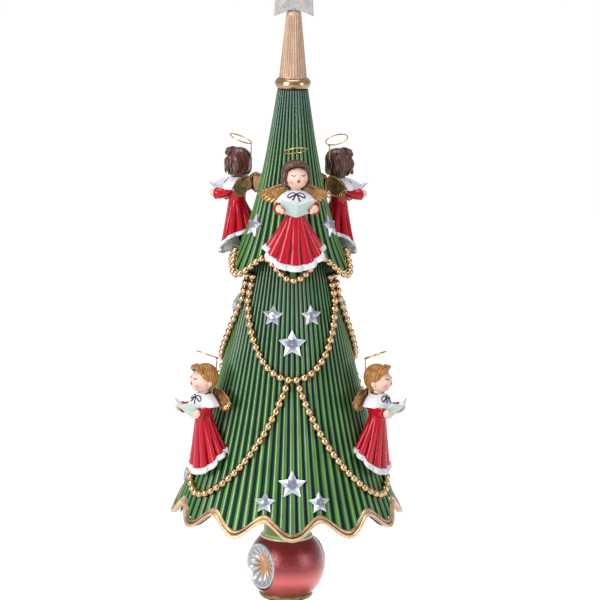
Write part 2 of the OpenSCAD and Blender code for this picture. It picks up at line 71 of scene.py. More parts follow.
def node_box(name):
    """Lowest and highest corners of a CAD node, in millimetres."""
    low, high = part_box(name)
    return np.array(low) / MM, np.array(high) / MM


# ---------------------------------------------------------------- camera and light

def add_camera():
    """A long lens, looking slightly down on the tree from just left of its front."""
    sensor = 36.0
    focal_px = 3070.0
    frame_px = 600.0
    distance = 2260.0
    azimuth = math.radians(-3.0)
    pitch = math.radians(11.05)
    roll = math.radians(0.83)
    height = 722.9
    sideways = 7.6  # the tree stands a little left of the frame's middle
    back = Vector((math.sin(azimuth), -math.cos(azimuth), 0.0))
    right = Vector((math.cos(azimuth), math.sin(azimuth), 0.0))
    forward = -back * math.cos(pitch) - Vector((0, 0, math.sin(pitch)))
    up = right.cross(forward)
    place = back * distance + right * sideways + Vector((0, 0, height))
    data = bpy.data.cameras.new("camera")
    data.sensor_width = sensor
    data.lens = sensor * focal_px / frame_px
    data.clip_end = 20.0
    camera = bpy.data.objects.new("camera", data)
    bpy.context.scene.collection.objects.link(camera)
    turned_right = right * math.cos(roll) + up * math.sin(roll)
    turned_up = up * math.cos(roll) - right * math.sin(roll)
    basis = Matrix((turned_right, turned_up, -forward)).transposed().to_4x4()
    camera.matrix_world = Matrix.Translation(place * MM) @ basis
    bpy.context.scene.camera = camera


def area_light(name, place, target, size, power):
    data = bpy.data.lights.new(name, "AREA")
    data.shape = "RECTANGLE"
    data.size, data.size_y = size
    data.energy = power
    light = bpy.data.objects.new(name, data)
    bpy.context.scene.collection.objects.link(light)
    light.location = place
    light.rotation_euler = (Vector(target) - Vector(place)).to_track_quat("-Z", "Y").to_euler()


def add_studio():
    """A white sweep under soft boxes on both sides, as for a catalogue picture."""
    world = bpy.data.worlds.new("studio")
    bpy.context.scene.world = world
    world.use_nodes = True
    background = world.node_tree.nodes["Background"]
    background.inputs["Color"].default_value = (1.0, 1.0, 1.0, 1.0)
    background.inputs["Strength"].default_value = 0.43
    middle = (0, 0, 0.27)
    area_light("key_box", (-1.3, -1.2, 1.0), middle, (0.8, 1.5), 31)
    area_light("fill_box", (1.5, -0.9, 0.7), middle, (0.6, 1.2), 7)
    area_light("top_box", (0.0, 0.1, 1.9), middle, (1.0, 1.0), 12)
    bpy.context.scene.view_settings.view_transform = "Standard"
    mesh = bpy.data.meshes.new("floor")
    reach = 6.0
    mesh.from_pydata([(-reach, -reach, 0), (reach, -reach, 0), (reach, reach, 0), (-reach, reach, 0)],
                     [], [(0, 1, 2, 3)])
    floor = bpy.data.objects.new("floor", mesh)
    bpy.context.scene.collection.objects.link(floor)
    white = material("floor_white", (0.2, 0.2, 0.2), rough=0.9, specular=0.0)
    shader = white.node_tree.nodes["Principled BSDF"]
    shader.inputs["Emission Color"].default_value = (1, 1, 1, 1)
    shader.inputs["Emission Strength"].default_value = 0.92
    floor.data.materials.append(white)


# ---------------------------------------------------------------- materials

GLOSS_LEFT = 0.08  # share of its gloss that a dulled hollow keeps, its reflections dimmed as painted shade
BUMP_H = 0.0004  # metres


def material(name, colour=(0.8, 0.8, 0.8), rough=0.4, metal=0.0, coat=0.0, coat_rough=0.05,
             paint=False, mottle=None, bump=None, dirt=None, sheen=0.0, specular=0.5, dull=False, band=None):
    """A Principled material. paint takes the base colour from the mesh's painted colour, mottle
    varies its value and bump roughens it, each given as a strength and a scale. The colour given
    for hollows is mixed in by the mesh's share of painted shade and wear: painted shade in grooves,
    folds, creases and under edges, and real worn gilding on the lips of the tiers. dull takes the
    gloss off the same places, as painted shade on their reflections. band is a lowest height, a
    highest height, the width of its soft edges and the colour painted between them."""
    m = bpy.data.materials.new(name)
    m.use_nodes = True
    nodes, links = m.node_tree.nodes, m.node_tree.links

    def feed(socket, value):
        """Links an output to a socket, or gives the socket a plain value."""
        if isinstance(value, bpy.types.NodeSocket):
            links.new(value, socket)
        else:
            socket.default_value = value

    def add(kind, output, sockets, **settings):
        """Adds a node, feeds its sockets and gives back one of its outputs."""
        node = nodes.new("ShaderNode" + kind)
        for key, value in settings.items():
            setattr(node, key, value)
        for key, value in sockets.items():
            feed(node.inputs[key], value)
        return node.outputs[output]

    def attribute(layer, output):
        return add("Attribute", output, {}, attribute_name=layer)

    def noise(scale, detail):
        return add("TexNoise", "Fac", {"Vector": where, "Scale": scale, "Detail": detail})

    def remap(value, low, high, start=0.0, end=1.0):
        """Carries start..end over to low..high."""
        return add("MapRange", "Result", {"Value": value, "From Min": start, "From Max": end,
                                          "To Min": low, "To Max": high})

    def mix(share, under, over):
        return add("Mix", "Result", {"Factor": share, "A": under, "B": (*over, 1)}, data_type="RGBA")

    shader = nodes["Principled BSDF"].inputs
    for socket, value in (("Base Color", (*colour, 1)), ("Roughness", rough), ("Metallic", metal),
                          ("Coat Weight", coat), ("Coat Roughness", coat_rough), ("Sheen Weight", sheen),
                          ("Specular IOR Level", specular)):
        feed(shader[socket], value)
    where = add("TexCoord", "Object", {})
    tint = attribute("paint", "Color") if paint else colour
    if mottle:
        vary, scale = mottle
        value = remap(noise(scale, 4), 1 - vary, 1 + vary, 0.3, 0.7)
        tint = add("VectorMath", "Vector", {0: tint, "Scale": value}, operation="SCALE")
    # mixes in the colour of painted shade, and on the lips of worn gilding, by the mesh's share
    if dirt:
        tint = mix(attribute("dirt", "Fac"), tint, dirt)
    if band:
        low, high, soft, band_colour = band
        height = add("SeparateXYZ", "Z", {"Vector": add("NewGeometry", "Position", {})})
        off = add("Math", "Value", {0: height, 1: (low + high) / 2 * MM}, operation="SUBTRACT")
        away = add("Math", "Value", {0: off}, operation="ABSOLUTE")
        inside = remap(away, 1.0, 0.0, (high - low - soft) / 2 * MM, (high - low + soft) / 2 * MM)
        tint = mix(inside, tint, band_colour)
    if tint is not colour:
        feed(shader["Base Color"], tint)
    # takes the gloss off where shade is painted, as painted shade on the reflections
    if dull:
        for socket, value in (("Coat Weight", coat), ("Specular IOR Level", specular)):
            feed(shader[socket], remap(attribute("dirt", "Fac"), value, GLOSS_LEFT * value))
    if bump:
        strength, scale = bump
        grain = noise(scale, 3)
        normal = add("Bump", "Normal", {"Strength": strength, "Distance": BUMP_H, "Height": grain})
        feed(shader["Normal"], normal)
        feed(shader["Coat Normal"], normal)
    return m


def srgb(r, g, b):
    """Linear colour of an sRGB triple in 0 to 255."""
    def one(v):
        v /= 255
        return v / 12.92 if v <= 0.04045 else ((v + 0.055) / 1.055) ** 2.4
    return tuple(one(v) for v in (r, g, b))


# ---------------------------------------------------------------- mesh helpers

def make_mesh(name, points, faces, mat, paint=None, dirt=None, smooth=True):
    """A mesh from points in millimetres. paint holds a colour for each point, and the shade-and-wear list
    each point's share of painted shade and wear.
    """
    mesh = bpy.data.meshes.new(name)
    mesh.from_pydata((np.asarray(points, float) * MM).tolist(), [], faces)
    mesh.materials.append(mat)
    work = bmesh.new()
    work.from_mesh(mesh)
    bmesh.ops.recalc_face_normals(work, faces=work.faces)
    work.to_mesh(mesh)
    work.free()
    if paint is not None:
        layer = mesh.color_attributes.new("paint", "FLOAT_COLOR", "POINT")
        rgba = np.ones((len(points), 4), np.float32)
        rgba[:, :3] = paint
        layer.data.foreach_set("color", rgba.ravel())
    # each point's share of painted shade and wear, kept on the mesh
    if dirt is not None:
        layer = mesh.attributes.new("dirt", "FLOAT", "POINT")
        layer.data.foreach_set("value", np.asarray(dirt, np.float32))
    if smooth:
        mesh.shade_smooth()
    mesh.update()
    return mesh


def add_piece(name, part, node, mat, slot, **looks):
    """Puts (points, faces) in the scene as a piece on its CAD node's body, standing for that node."""
    piece = bpy.data.objects.new(name, make_mesh(name, *part, MATS[mat], **looks))
    bpy.context.scene.collection.objects.link(piece)
    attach(piece, frame["nodes"][node]["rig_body"])
    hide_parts(node)


def use_material(node, name):
    """Paints a CAD node that is shown as it is."""
    data = frame["nodes"][node].data
    data.materials.clear()
    data.materials.append(MATS[name])


def around(count):
    """Angles of a full turn in equal steps."""
    return [2 * math.pi * i / count for i in range(count)]


def ramp(value, start, end):
    """0 up to start and 1 from end on, with a straight line between them."""
    return max(0.0, min(1.0, (value - start) / (end - start)))


def grid_faces(rows, columns, closed=True, flip=False):
    """Quads of a grid of points, row after row, closed round its columns."""
    faces = []
    last = columns if closed else columns - 1
    for j in range(rows - 1):
        for i in range(last):
            k = (i + 1) % columns
            quad = (j * columns + i, (j + 1) * columns + i, (j + 1) * columns + k, j * columns + k)
            faces.append(quad[::-1] if flip else quad)
    return faces


def tube(path, radius, sides=10, closed=False, taper=None):
    """A round tube along a list of points. taper gives each point's share of the radius."""
    path = np.asarray(path, float)
    n = len(path)
    if closed:
        tangent = np.roll(path, -1, 0) - np.roll(path, 1, 0)
    else:
        tangent = np.gradient(path, axis=0)
    tangent /= np.linalg.norm(tangent, axis=1)[:, None]
    side = np.cross(tangent[0], (0.0, 0.0, 1.0))
    if np.linalg.norm(side) < 0.1:
        side = np.cross(tangent[0], (1.0, 0.0, 0.0))
    points = []
    for i in range(n):
        side = side - tangent[i] * np.dot(side, tangent[i])
        side /= np.linalg.norm(side)
        other = np.cross(tangent[i], side)
        r = radius * (taper[i] if taper is not None else 1.0)
        points += [path[i] + r * (math.cos(a) * side + math.sin(a) * other) for a in around(sides)]
    faces = grid_faces(n, sides, flip=True)
    if closed:
        faces += [((n - 1) * sides + k, (n - 1) * sides + (k + 1) % sides, (k + 1) % sides, k)
                  for k in range(sides)]
    else:
        faces.append(tuple(range(sides)))
        faces.append(tuple(reversed(range((n - 1) * sides, n * sides))))
    return points, faces


def ball(centre, radius, rings=12, steps=20, squash=(1, 1, 1)):
    """A ball, or an egg when squash scales its axes."""
    points = []
    for j in range(rings + 1):
        lat = math.pi * (j / rings - 0.5)
        for lon in around(steps):
            unit = np.array((math.cos(lat) * math.cos(lon), math.cos(lat) * math.sin(lon), math.sin(lat)))
            points.append(np.array(centre) + radius * unit * squash)
    return points, grid_faces(rings + 1, steps, flip=True)


def join(parts):
    """Joins (points, faces) pairs into one pair."""
    points, faces = [], []
    for more_points, more_faces in parts:
        base = len(points)
        points += list(more_points)
        faces += [tuple(base + i for i in face) for face in more_faces]
    return points, faces


def turn_z(part, degrees, centre=(0.0, 0.0)):
    """A part turned about an upright axis."""
    points, faces = part
    a = math.radians(degrees)
    cx, cy = centre
    return [(cx + (x - cx) * math.cos(a) - (y - cy) * math.sin(a),
             cy + (x - cx) * math.sin(a) + (y - cy) * math.cos(a), z) for x, y, z in points], faces


def at(radius, azimuth, z):
    """The point at a radius, an azimuth in degrees and a height."""
    a = math.radians(azimuth)
    return np.array((radius * math.sin(a), -radius * math.cos(a), z))


# ---------------------------------------------------------------- the two tiers

class Tier:
    """A ribbed, flared cone with a scalloped hem, as the CAD draws it."""

    def __init__(self, node, top_r, steady, curl, scallops, scallop_h, ribs):
        low, high = node_box(node)
        self.node = node
        self.hem_z, self.top_z = low[2], high[2]
        self.hem_r = -low[1]
        self.top_r = top_r
        self.steady, self.curl = steady, curl
        self.scallops, self.scallop_h, self.ribs = scallops, scallop_h, ribs

    def radius(self, z):
        t = np.clip((self.top_z - z) / (self.top_z - self.hem_z), 0, 1.2)
        return self.top_r + (self.hem_r - self.top_r) * (self.steady * t + (1 - self.steady) * t ** self.curl)

    def slope(self, z):
        """Angle of the surface from the vertical, in degrees."""
        return math.degrees(math.atan((self.radius(z - 1) - self.radius(z + 1)) / 2))

    def edge(self, azimuth):
        """Height of the hem at an azimuth."""
        swing = abs(math.cos(math.radians(azimuth * self.scallops / 2)))
        return self.hem_z + self.scallop_h * (1 - swing ** 1.8)


LOWER = Tier("lower_tier", 29.0, 0.82, 4.0, 12, 12.5, 72)
UPPER = Tier("upper_tier", 11.4, 0.6, 3.6, 6, 14.5, 36)


def rib_section(phase):
    """Height of a rib across its pitch, from 0 in the groove to 1 on the crest, and how much
    painted shade darkens it towards the groove. phase runs from -0.5 to 0.5."""
    half = 0.31  # half of the rib's width, as a share of the pitch
    fade_start = 0.72  # where the painted shade of the groove starts, from crest to rib's edge
    edge_h = 0.374  # height of the rib's edge
    x = abs(phase) / half
    if x < 1:
        return math.sqrt(1 - 0.86 * x * x), max(0.0, (x - fade_start) / (1 - fade_start)) ** 1.5
    fall = min((x - 1) / (0.5 / half - 1), 1.0)
    return edge_h * (1 - fall) ** 2, 1.0


def build_ribs(tier, rows, steps_per_rib, lip_h, rng):
    """The ribbed outside, its paint greyer and darker at the top of the tree and brighter towards each hem,
    as painted sheen and shade.
    """
    crest, shade = np.array(srgb(64, 122, 26)), np.array(srgb(50, 96, 56))
    top_sheen, hollow = np.array(srgb(52, 92, 84)), np.array(srgb(14, 34, 38))
    rib_depth = 1.3
    rib_tone = rng.uniform(-1, 1, tier.ribs)
    steps = tier.ribs * steps_per_rib
    points, paint, dirt = [], [], []
    for j in range(rows + 1):
        down = j / rows
        for i in range(steps):
            azimuth = 360.0 * i / steps
            turns = azimuth * tier.ribs / 360
            rib = round(turns)
            foot = tier.edge(azimuth) + lip_h
            z = tier.top_z + (foot - tier.top_z) * j / rows
            pitch = 2 * math.pi * tier.radius(z) / tier.ribs
            rise, dark = rib_section(turns - rib)
            depth = min(rib_depth, 0.3 * pitch)
            points.append(at(tier.radius(z) - depth * (1 - rise), azimuth, z))
            # painted sheen and shade: greyer, darker green at the top, full crest green towards the hem
            green = shade + (crest - shade) * min(1, 0.15 + down)
            # the top of the upper tier paler and bluer still: a painted sheen
            if tier is UPPER:
                green = green + (top_sheen - green) * max(0, 0.75 - 2.6 * down)
            green = green * (1 + 0.14 * rib_tone[rib % tier.ribs])
            # painted shade: the paint darkens towards the groove colour, and the same share dulls the
            # groove's gloss
            paint.append(green * (1 - dark) + hollow * dark)
            dirt.append(dark)
    add_piece(tier.node + "_ribs", (points, grid_faces(rows + 1, steps)), tier.node, "green", "green_resin",
              paint=paint, dirt=dirt)


# The rolled lip of a hem from top to bottom: how far out it stands, how far down, how much painted shade
# darkens it, most in its groove and underneath
LIP = [(-0.15, 0.0, 0.8), (0.3, 0.06, 0.25), (0.62, 0.17, 0.0), (0.62, 0.28, 0.0), (0.3, 0.4, 0.3),
       (-0.05, 0.47, 1.0), (0.1, 0.53, 1.0), (0.6, 0.6, 0.1), (0.95, 0.7, 0.0), (1.0, 0.8, 0.0),
       (0.85, 0.91, 0.0), (0.4, 1.0, 0.1), (-0.6, 1.0, 0.3), (-1.8, 0.94, 0.5)]


def build_lip(tier, lip_h, lip_out, rng):
    """A cove under the ribs and a round edge below it, with painted shade in its groove and underneath, and
    its gilding worn in patches.
    """
    steps = 48 * tier.scallops
    tuck = 0.3  # how far the lip runs up behind the ribs
    patches = 97
    patch = np.interp(np.arange(steps), np.linspace(0, steps, patches), rng.uniform(-0.3, 0.45, patches))
    points, dirt = [], []
    for out, down, dark in LIP:
        for i in range(steps):
            azimuth = 360.0 * i / steps
            foot = tier.edge(azimuth)
            z = foot + lip_h + tuck - (lip_h + tuck) * down
            points.append(at(tier.radius(foot + lip_h * (1 - down)) - 0.25 + lip_out * out, azimuth, z))
            low_edge = 1 - (foot - tier.hem_z) / tier.scallop_h
            worn = patch[i] + 0.35 * low_edge ** 2 + rng.uniform(-0.15, 0.25)
            wear = max(0, worn) if down < 0.5 else 0.2 * max(0, patch[i])
            # painted shade from the table, stronger at the scallops' low points, plus patches of real wear
            dirt.append(min(1, max(0, dark * (0.3 + 0.7 * low_edge) + wear)))
    add_piece(tier.node + "_lip", (points, grid_faces(len(LIP), steps)), tier.node, "gold_lip", "gold_paint",
              dirt=dirt)


def build_tier(tier, rows, steps_per_rib, lip_h, lip_out, wall):
    """A tier: its ribs, its lip and the plain inside that shows from below."""
    rng = np.random.default_rng(7)
    build_ribs(tier, rows, steps_per_rib, lip_h, rng)
    build_lip(tier, lip_h, lip_out, rng)
    steps, inside_rows = 48 * tier.scallops, 14
    points = []
    for j in range(inside_rows + 1):
        for i in range(steps):
            azimuth = 360.0 * i / steps
            foot = tier.edge(azimuth) + 0.4
            z = foot + (tier.top_z - 6 - foot) * j / inside_rows
            points.append(at(tier.radius(z) - wall, azimuth, z))
    add_piece(tier.node + "_inside", (points, grid_faces(inside_rows + 1, steps)), tier.node,
              "inside_green", "green_resin")


# ---------------------------------------------------------------- garlands

def cad_bead_centres(node):
    """Centres of a garland's beads: the middles of the separate balls in its CAD node."""
    mesh = frame["nodes"][node].data
    parent = list(range(len(mesh.vertices)))

    def root(i):
        while parent[i] != i:
            parent[i] = parent[parent[i]]
            i = parent[i]
        return i

    co = np.array([v.co for v in mesh.vertices]) / MM
    seen = {}
    for i, p in enumerate(np.round(co, 3)):
        key = tuple(p)
        if key in seen:
            parent[root(i)] = root(seen[key])
        seen[key] = i
    for edge in mesh.edges:
        a, b = (root(v) for v in edge.vertices)
        parent[a] = b
    groups = {}
    for i in range(len(co)):
        groups.setdefault(root(i), []).append(co[i])
    return [(np.min(g, 0) + np.max(g, 0)) / 2 for g in groups.values()]


def build_beads(node, radius):
    """Polished beads on a thread of the same gold that shows between them."""
    spots = np.array(cad_bead_centres(node))
    parts = [ball(c, radius, 14, 22) for c in spots]
    for i, c in enumerate(spots):
        gaps = np.linalg.norm(spots - c, axis=1)
        for k in np.argsort(gaps)[1:3]:
            if k > i and gaps[k] < 3.2 * radius:
                parts.append(tube([c, spots[k]], 0.34 * radius, 8))
    add_piece(node + "_strand", join(parts), node, "bead_gold", "gold_beads")


# ---------------------------------------------------------------- gems, ball, tip and base

GEM_H = 3.4  # height of a gem above the tier's surface
# Paint of a gem's points: the middle and table darker as painted shade, the girdle light as painted
# highlights, the backs between
GEM_TONES = [(0.22, 0.25, 0.34)] + [(0.26, 0.29, 0.38), (0.62, 0.63, 0.71), (0.5, 0.52, 0.6)] * 10


def star_gem(radius):
    """A faceted star: a ridge down each arm, a girdle and a small middle painted darker as shade. Its points
    come in the order of GEM_TONES."""
    points = [(0.0, -GEM_H, 0.0)]
    table, inner = 0.3 * radius, 0.5 * radius
    for i in range(10):
        a = math.radians(36 * i)
        r = radius if i % 2 == 0 else inner
        points.append((table * math.sin(a), -GEM_H + 0.15, table * math.cos(a)))
        points.append((r * math.sin(a), -1.0 if i % 2 == 0 else -1.3, r * math.cos(a)))
        points.append((r * math.sin(a), 0.9, r * math.cos(a)))
    faces = []
    for i in range(10):
        k = (i + 1) % 10
        t0, g0, b0 = 1 + 3 * i, 2 + 3 * i, 3 + 3 * i
        t1, g1, b1 = 1 + 3 * k, 2 + 3 * k, 3 + 3 * k
        slopes = [(t0, g0, t1), (t1, g0, g1)] if i % 2 else [(t0, g1, t1), (t0, g0, g1)]
        faces += [(0, t0, t1), *slopes, (g0, b0, b1, g1)]
    faces.append(tuple(3 + 3 * i for i in range(10)))
    return points, faces


def placed(part, azimuth, radius, z, tilt):
    """A part drawn facing -Y, moved onto a tier's surface."""
    points, faces = part
    t = math.radians(-tilt)
    out = [(x, y * math.cos(t) - h * math.sin(t) - radius, z + y * math.sin(t) + h * math.cos(t))
           for x, y, h in points]
    return turn_z((out, faces), azimuth)


def build_gems():
    small, large, upper = 8.4, 10.8, 9.4
    stars, glints = {}, {}

    def add(node, tier, azimuth, z, radius):
        spot = (azimuth, tier.radius(z), z, tier.slope(z))
        stars.setdefault(node, []).append(placed(star_gem(radius), *spot))
        # a tiny gold ball on the middle of each gem: a painted glint
        dot = ball((0, -GEM_H - 0.05, 0), 0.05 * radius, 6, 10, (1, 0.4, 1))
        glints.setdefault(node, []).append(placed(dot, *spot))

    for node, azimuth in (("front_gems", 0), ("right_gems", 120), ("left_gems", -120)):
        for side in (-1, 1):
            add(node, LOWER, azimuth + 20.5 * side, LOWER.top_z - 45.3, small)
            add(node, LOWER, azimuth + 15 * side, LOWER.hem_z + 26.5, small)
        add(node, LOWER, azimuth, LOWER.top_z - 65.4, large)
        add(node, LOWER, azimuth, LOWER.hem_z + 39.4, large)
    for azimuth in (60, 180, 300):
        add("upper_tier_gems", UPPER, azimuth, UPPER.hem_z + 36, upper)
    for node, parts in stars.items():
        add_piece(node + "_stars", join(parts), node, "gem", "clear_gems", paint=GEM_TONES * len(parts),
                  smooth=False)
        add_piece(node + "_foil", join(glints[node]), node, "bead_gold", "clear_gems")


def build_ball():
    """The glass ball's paint, and the fluted dishes set in its sides."""
    use_material("ornament_ball", "red_glitter")
    radius, cup_r = 29.4, 19.9
    centre_z = TRUNK_Z + 1 - math.sqrt(radius ** 2 - cup_r ** 2)
    dish_r, seat = 17.4, 17.5
    rim = math.sqrt(radius ** 2 - dish_r ** 2)
    flutes, steps = 16, 320
    # share of the dish's radius and distance from the ball's centre
    rings = [(0.0, seat + 1.6), (0.1, seat + 1.7), (0.16, seat + 1.9), (0.3, seat + 2.2), (0.45, seat + 2.7),
             (0.6, seat + 3.4), (0.7, seat + 4.1), (0.78, seat + 4.8), (0.84, seat + 5.5), (0.89, rim - 0.2),
             (0.93, rim + 0.5), (0.965, rim + 0.9), (0.99, rim + 0.7), (1.0, rim + 0.2), (1.0, seat)]
    silver, white = np.array((0.40, 0.41, 0.44)), np.array((0.56, 0.57, 0.59))
    gold = np.array(srgb(206, 158, 116))
    for node, azimuth in (("reflector_left", -57), ("reflector_right", 123)):
        points, paint = [], []
        for share, depth in rings:
            fade = ramp(share, 0.1, 0.4) * ramp(-share, -0.86, -0.76)
            for a in around(steps):
                wave = abs(math.cos(flutes * a / 2))
                r = dish_r * share
                y = -(depth + 0.9 * (wave - 0.6) * fade)
                points.append((r * math.sin(a), y, r * math.cos(a) + centre_z))
                # each flute's paint is brighter along its crest and darker in its trough: painted light and
                # shade on the foil
                if share < 0.5:
                    paint.append(gold * (0.45 + 0.6 * wave))
                elif share < 0.8:
                    paint.append(white * (0.35 + 0.65 * wave))
                else:
                    paint.append(silver if share < 0.92 else white)
        dish = turn_z((points, grid_faces(len(rings), steps)), azimuth)
        add_piece(node + "_dish", dish, node, "foil", "silver_foil", paint=paint)


def build_tip():
    """The fluted gold tip, ending in a low dome, with painted shade in the hollows of its flutes."""
    low, high = node_box("gold_tip")
    foot_r, top_r, dome_h = high[0], 5.5, 2.4
    flutes, rows, steps = 28, 40, 280
    points, dirt = [], []
    for j in range(rows + 1):
        t = j / rows
        z = low[2] + (high[2] - low[2] - dome_h) * t
        r = foot_r + (top_r - foot_r) * t
        deep = 0.42 * min(1, t / 0.04) * min(1, max(0.0, (0.99 - t)) / 0.05)
        for a in around(steps):
            wave = 0.5 - 0.5 * math.cos(flutes * a)
            points.append(((r - deep * wave) * math.cos(a), (r - deep * wave) * math.sin(a), z))
            # painted shade in the hollow of each flute
            dirt.append(0.5 * wave * min(1, deep * 4))
    dome = [math.radians(15 * k) for k in range(1, 7)]
    for lift in dome:
        r = top_r * math.cos(lift) + 0.02
        z = high[2] - dome_h + dome_h * math.sin(lift)
        points += [(r * math.cos(a), r * math.sin(a), z) for a in around(steps)]
    dirt += [0] * (len(points) - len(dirt))
    cone = (points, grid_faces(rows + 1 + len(dome), steps))
    add_piece("gold_tip_cone", cone, "gold_tip", "tip_gold", "pale_gold_paint", dirt=dirt)
    use_material("tip_ring", "ring_gold")


def build_star():
    """A fat glittered star with a raised inner star and frosted edges."""
    low, high = node_box("top_star")
    radius = (high[0] - low[0]) / 2 / math.sin(math.radians(72))
    centre = high[2] - radius
    thick = (high[1] - low[1]) / 2
    inner = 0.57  # radius of its crotches, as a share of its points'
    white, speck = np.array((0.44, 0.42, 0.43)), np.array((0.55, 0.42, 0.24))
    rng = np.random.default_rng(3)
    steps = 120
    # share of the outline and depth, from the front's edge to its middle
    front = [(1.0, -2.6), (0.985, -3.3), (0.93, -3.7), (0.80, -3.2), (0.74, -3.4), (0.68, -4.3), (0.3, -5.4),
             (0.0, -thick + 0.3)]
    profile = [(share, -y) for share, y in reversed(front)][:-1] + [(1.0, 2.6)] + front

    def outline(degrees):
        """Share of the radius at an angle from a point of the star."""
        part = math.radians(min(degrees % 72, 72 - degrees % 72))
        crotch = math.radians(36)
        x, z = inner * math.sin(crotch), inner * math.cos(crotch) - 1
        return -x / (math.sin(part) * z - math.cos(part) * x)

    points, paint = [], []
    for share, y in profile:
        for i in range(steps):
            a = math.radians(360 * i / steps)
            r = radius * outline(360 * i / steps) * share
            grain = 0.10 * rng.standard_normal() if 0 < share < 0.995 else 0
            points.append((r * math.sin(a), y + grain, centre + r * math.cos(a)))
            paint.append(speck if rng.random() < 0.05 else white * (0.9 + 0.8 * abs(grain)))
    star = (points, grid_faces(len(profile), steps))
    add_piece("top_star_glitter", star, "top_star", "star_white", "white_glitter", paint=paint)


# ---------------------------------------------------------------- angels

# Rows of the cape from the neck to its edge: height, half width and half depth
CAPE = [(57.9, 4.7, 4.7), (57.0, 6.2, 6.0), (55.6, 8.3, 7.2), (53.4, 10.8, 8.5), (51.0, 12.9, 9.6),
        (49.4, 14.1, 10.3), (48.7, 14.4, 10.5), (48.3, 13.8, 10.1), (49.0, 11.5, 8.6)]
# Rows of the bodice under it, down to the waist
BODICE = [(48.6, 12.5, 8.6), (48.2, 9.2, 7.4), (46.0, 7.8, 6.7), (43.0, 7.1, 6.3), (41.0, 7.1, 6.5)]
WAIST_W, WAIST_D, WAIST_Z = 7, 6.5, 40  # half widths and height
HEM_W, HEM_D, HEM_BACK = 22.6, 14, 4  # half widths, and how far back the hem's middle lies
HEM_SIDE_Z, HEM_FRONT_DROP, HEM_BACK_LIFT = 13, 14.2, 6.5
HEM_BED = 2.4  # depth to which a skirt is bedded in its tier
PLEATS = 11
KNEE_Z = 27

# Mounds of the face: height, place across and up, and spread across and up
FEATURES = [(0.035, 0.55, -0.3, 0.06, 0.06), (-0.035, 0.42, 0.36, 0.03, 0.03), (0.10, 0, 0.10, 0.012, 0.02),
            (0.03, 0, -0.16, 0.03, 0.03), (0.03, 0, -0.75, 0.06, 0.06)]
BLUSHES = [(0.75, 0.60, -0.30, 0.035, 0.035), (0.25, 0, 0.08, 0.015, 0.015)]
LASH = [(1.9, 3.1), (2.7, 2.45), (3.7, 2.3), (4.7, 2.6), (5.4, 3.3)]
BROW = [(2.2, 6.2), (3.0, 6.8), (4.0, 6.8), (4.8, 6.2)]

# Outlines of the hair from its crown to its lower edge: radius and height
SHORT_HAIR = [(0.0, 80.3), (2.8, 79.9), (5.5, 78.8), (7.8, 76.9), (9.5, 74.4), (10.2, 71.8), (10.3, 69.6),
              (9.9, 67.2), (8.9, 64.7), (7.4, 62.4), (5.8, 60.6), (4.5, 59.6)]
LONG_HAIR = [(0.0, 80.3), (2.8, 79.9), (5.6, 78.8), (8.0, 76.8), (9.6, 74.1), (10.2, 71.6), (10.3, 69.0),
             (10.3, 66.4), (10.1, 64.0), (9.5, 61.8), (8.4, 60.2), (6.8, 59.4)]
# Locks over the brow: route, radius, wave, turns and phase
SHORT_FRINGE = [([(-7.4, -5.0, 74.0), (-6.0, -6.8, 76.4), (-2.6, -7.9, 78.0), (1.6, -7.8, 78.4),
                  (5.0, -6.6, 77.0), (7.4, -4.8, 74.2)], 1.6, 0.25, 3.5, 0.0),
                ([(-8.4, -3.0, 74.0), (-6.4, -4.4, 77.0), (-2.6, -5.4, 78.8), (1.6, -5.3, 79.0),
                  (5.4, -4.0, 77.4), (8.2, -2.8, 74.2)], 1.5, 0.25, 3.0, 1.0)]
LONG_FRINGE = [([(-8.4, -4.6, 73.0), (-6.8, -6.2, 76.0), (-3.4, -7.2, 77.6), (0.8, -7.3, 78.0),
                 (4.8, -6.4, 76.8), (7.8, -4.8, 73.6)], 1.6, 0.75, 4.0, 0.0),
               ([(-8.6, -2.6, 74.2), (-6.4, -4.4, 77.2), (-2.2, -5.2, 78.7), (2.6, -5.0, 78.6),
                 (6.4, -3.8, 76.8), (8.8, -2.4, 73.4)], 1.6, 0.7, 3.5, 2.0)]
SIDEBURN = [(8.4, -3.4, 74.0), (9.3, -2.7, 71.4), (9.5, -2.3, 69.0)]

# Tips of the longest feathers, from the outermost in, and the line of the wing's leading edge
LONG_FEATHERS = [(28.4, 52.3), (27.0, 50.0), (24.6, 48.2), (21.8, 46.8), (18.8, 45.8), (15.6, 45.2),
                 (12.4, 45.0), (9.2, 45.4)]
WING_EDGE = [(0.5, 56.0), (4.5, 59.4), (9.0, 60.1), (14.0, 59.0), (20.0, 56.7), (24.5, 54.4), (28.3, 52.4)]
WING_Y = 10.5

BOW_LOOP = [(0.3, 56.3), (2.4, 56.9), (4.8, 56.0), (6.2, 54.6), (6.0, 53.5), (4.6, 53.9), (2.2, 55.1),
            (0.3, 56.0)]
BOW_TAILS = {1: [(0.2, 55.9), (1.2, 54.2), (1.7, 52.6), (2.6, 51.2)],
             -1: [(0.2, 55.9), (1.3, 54.6), (2.2, 53.0), (3.1, 52.2)]}


def cape_y(x, z, lift=0.25):
    """Depth of the front of the cape at a point of its outline."""
    heights = [row[0] for row in CAPE[:7]][::-1]
    a = np.interp(z, heights, [row[1] for row in CAPE[:7]][::-1])
    b = np.interp(z, heights, [row[2] for row in CAPE[:7]][::-1])
    return -b * math.sqrt(max(0.02, 1 - (x / a) ** 2)) - lift


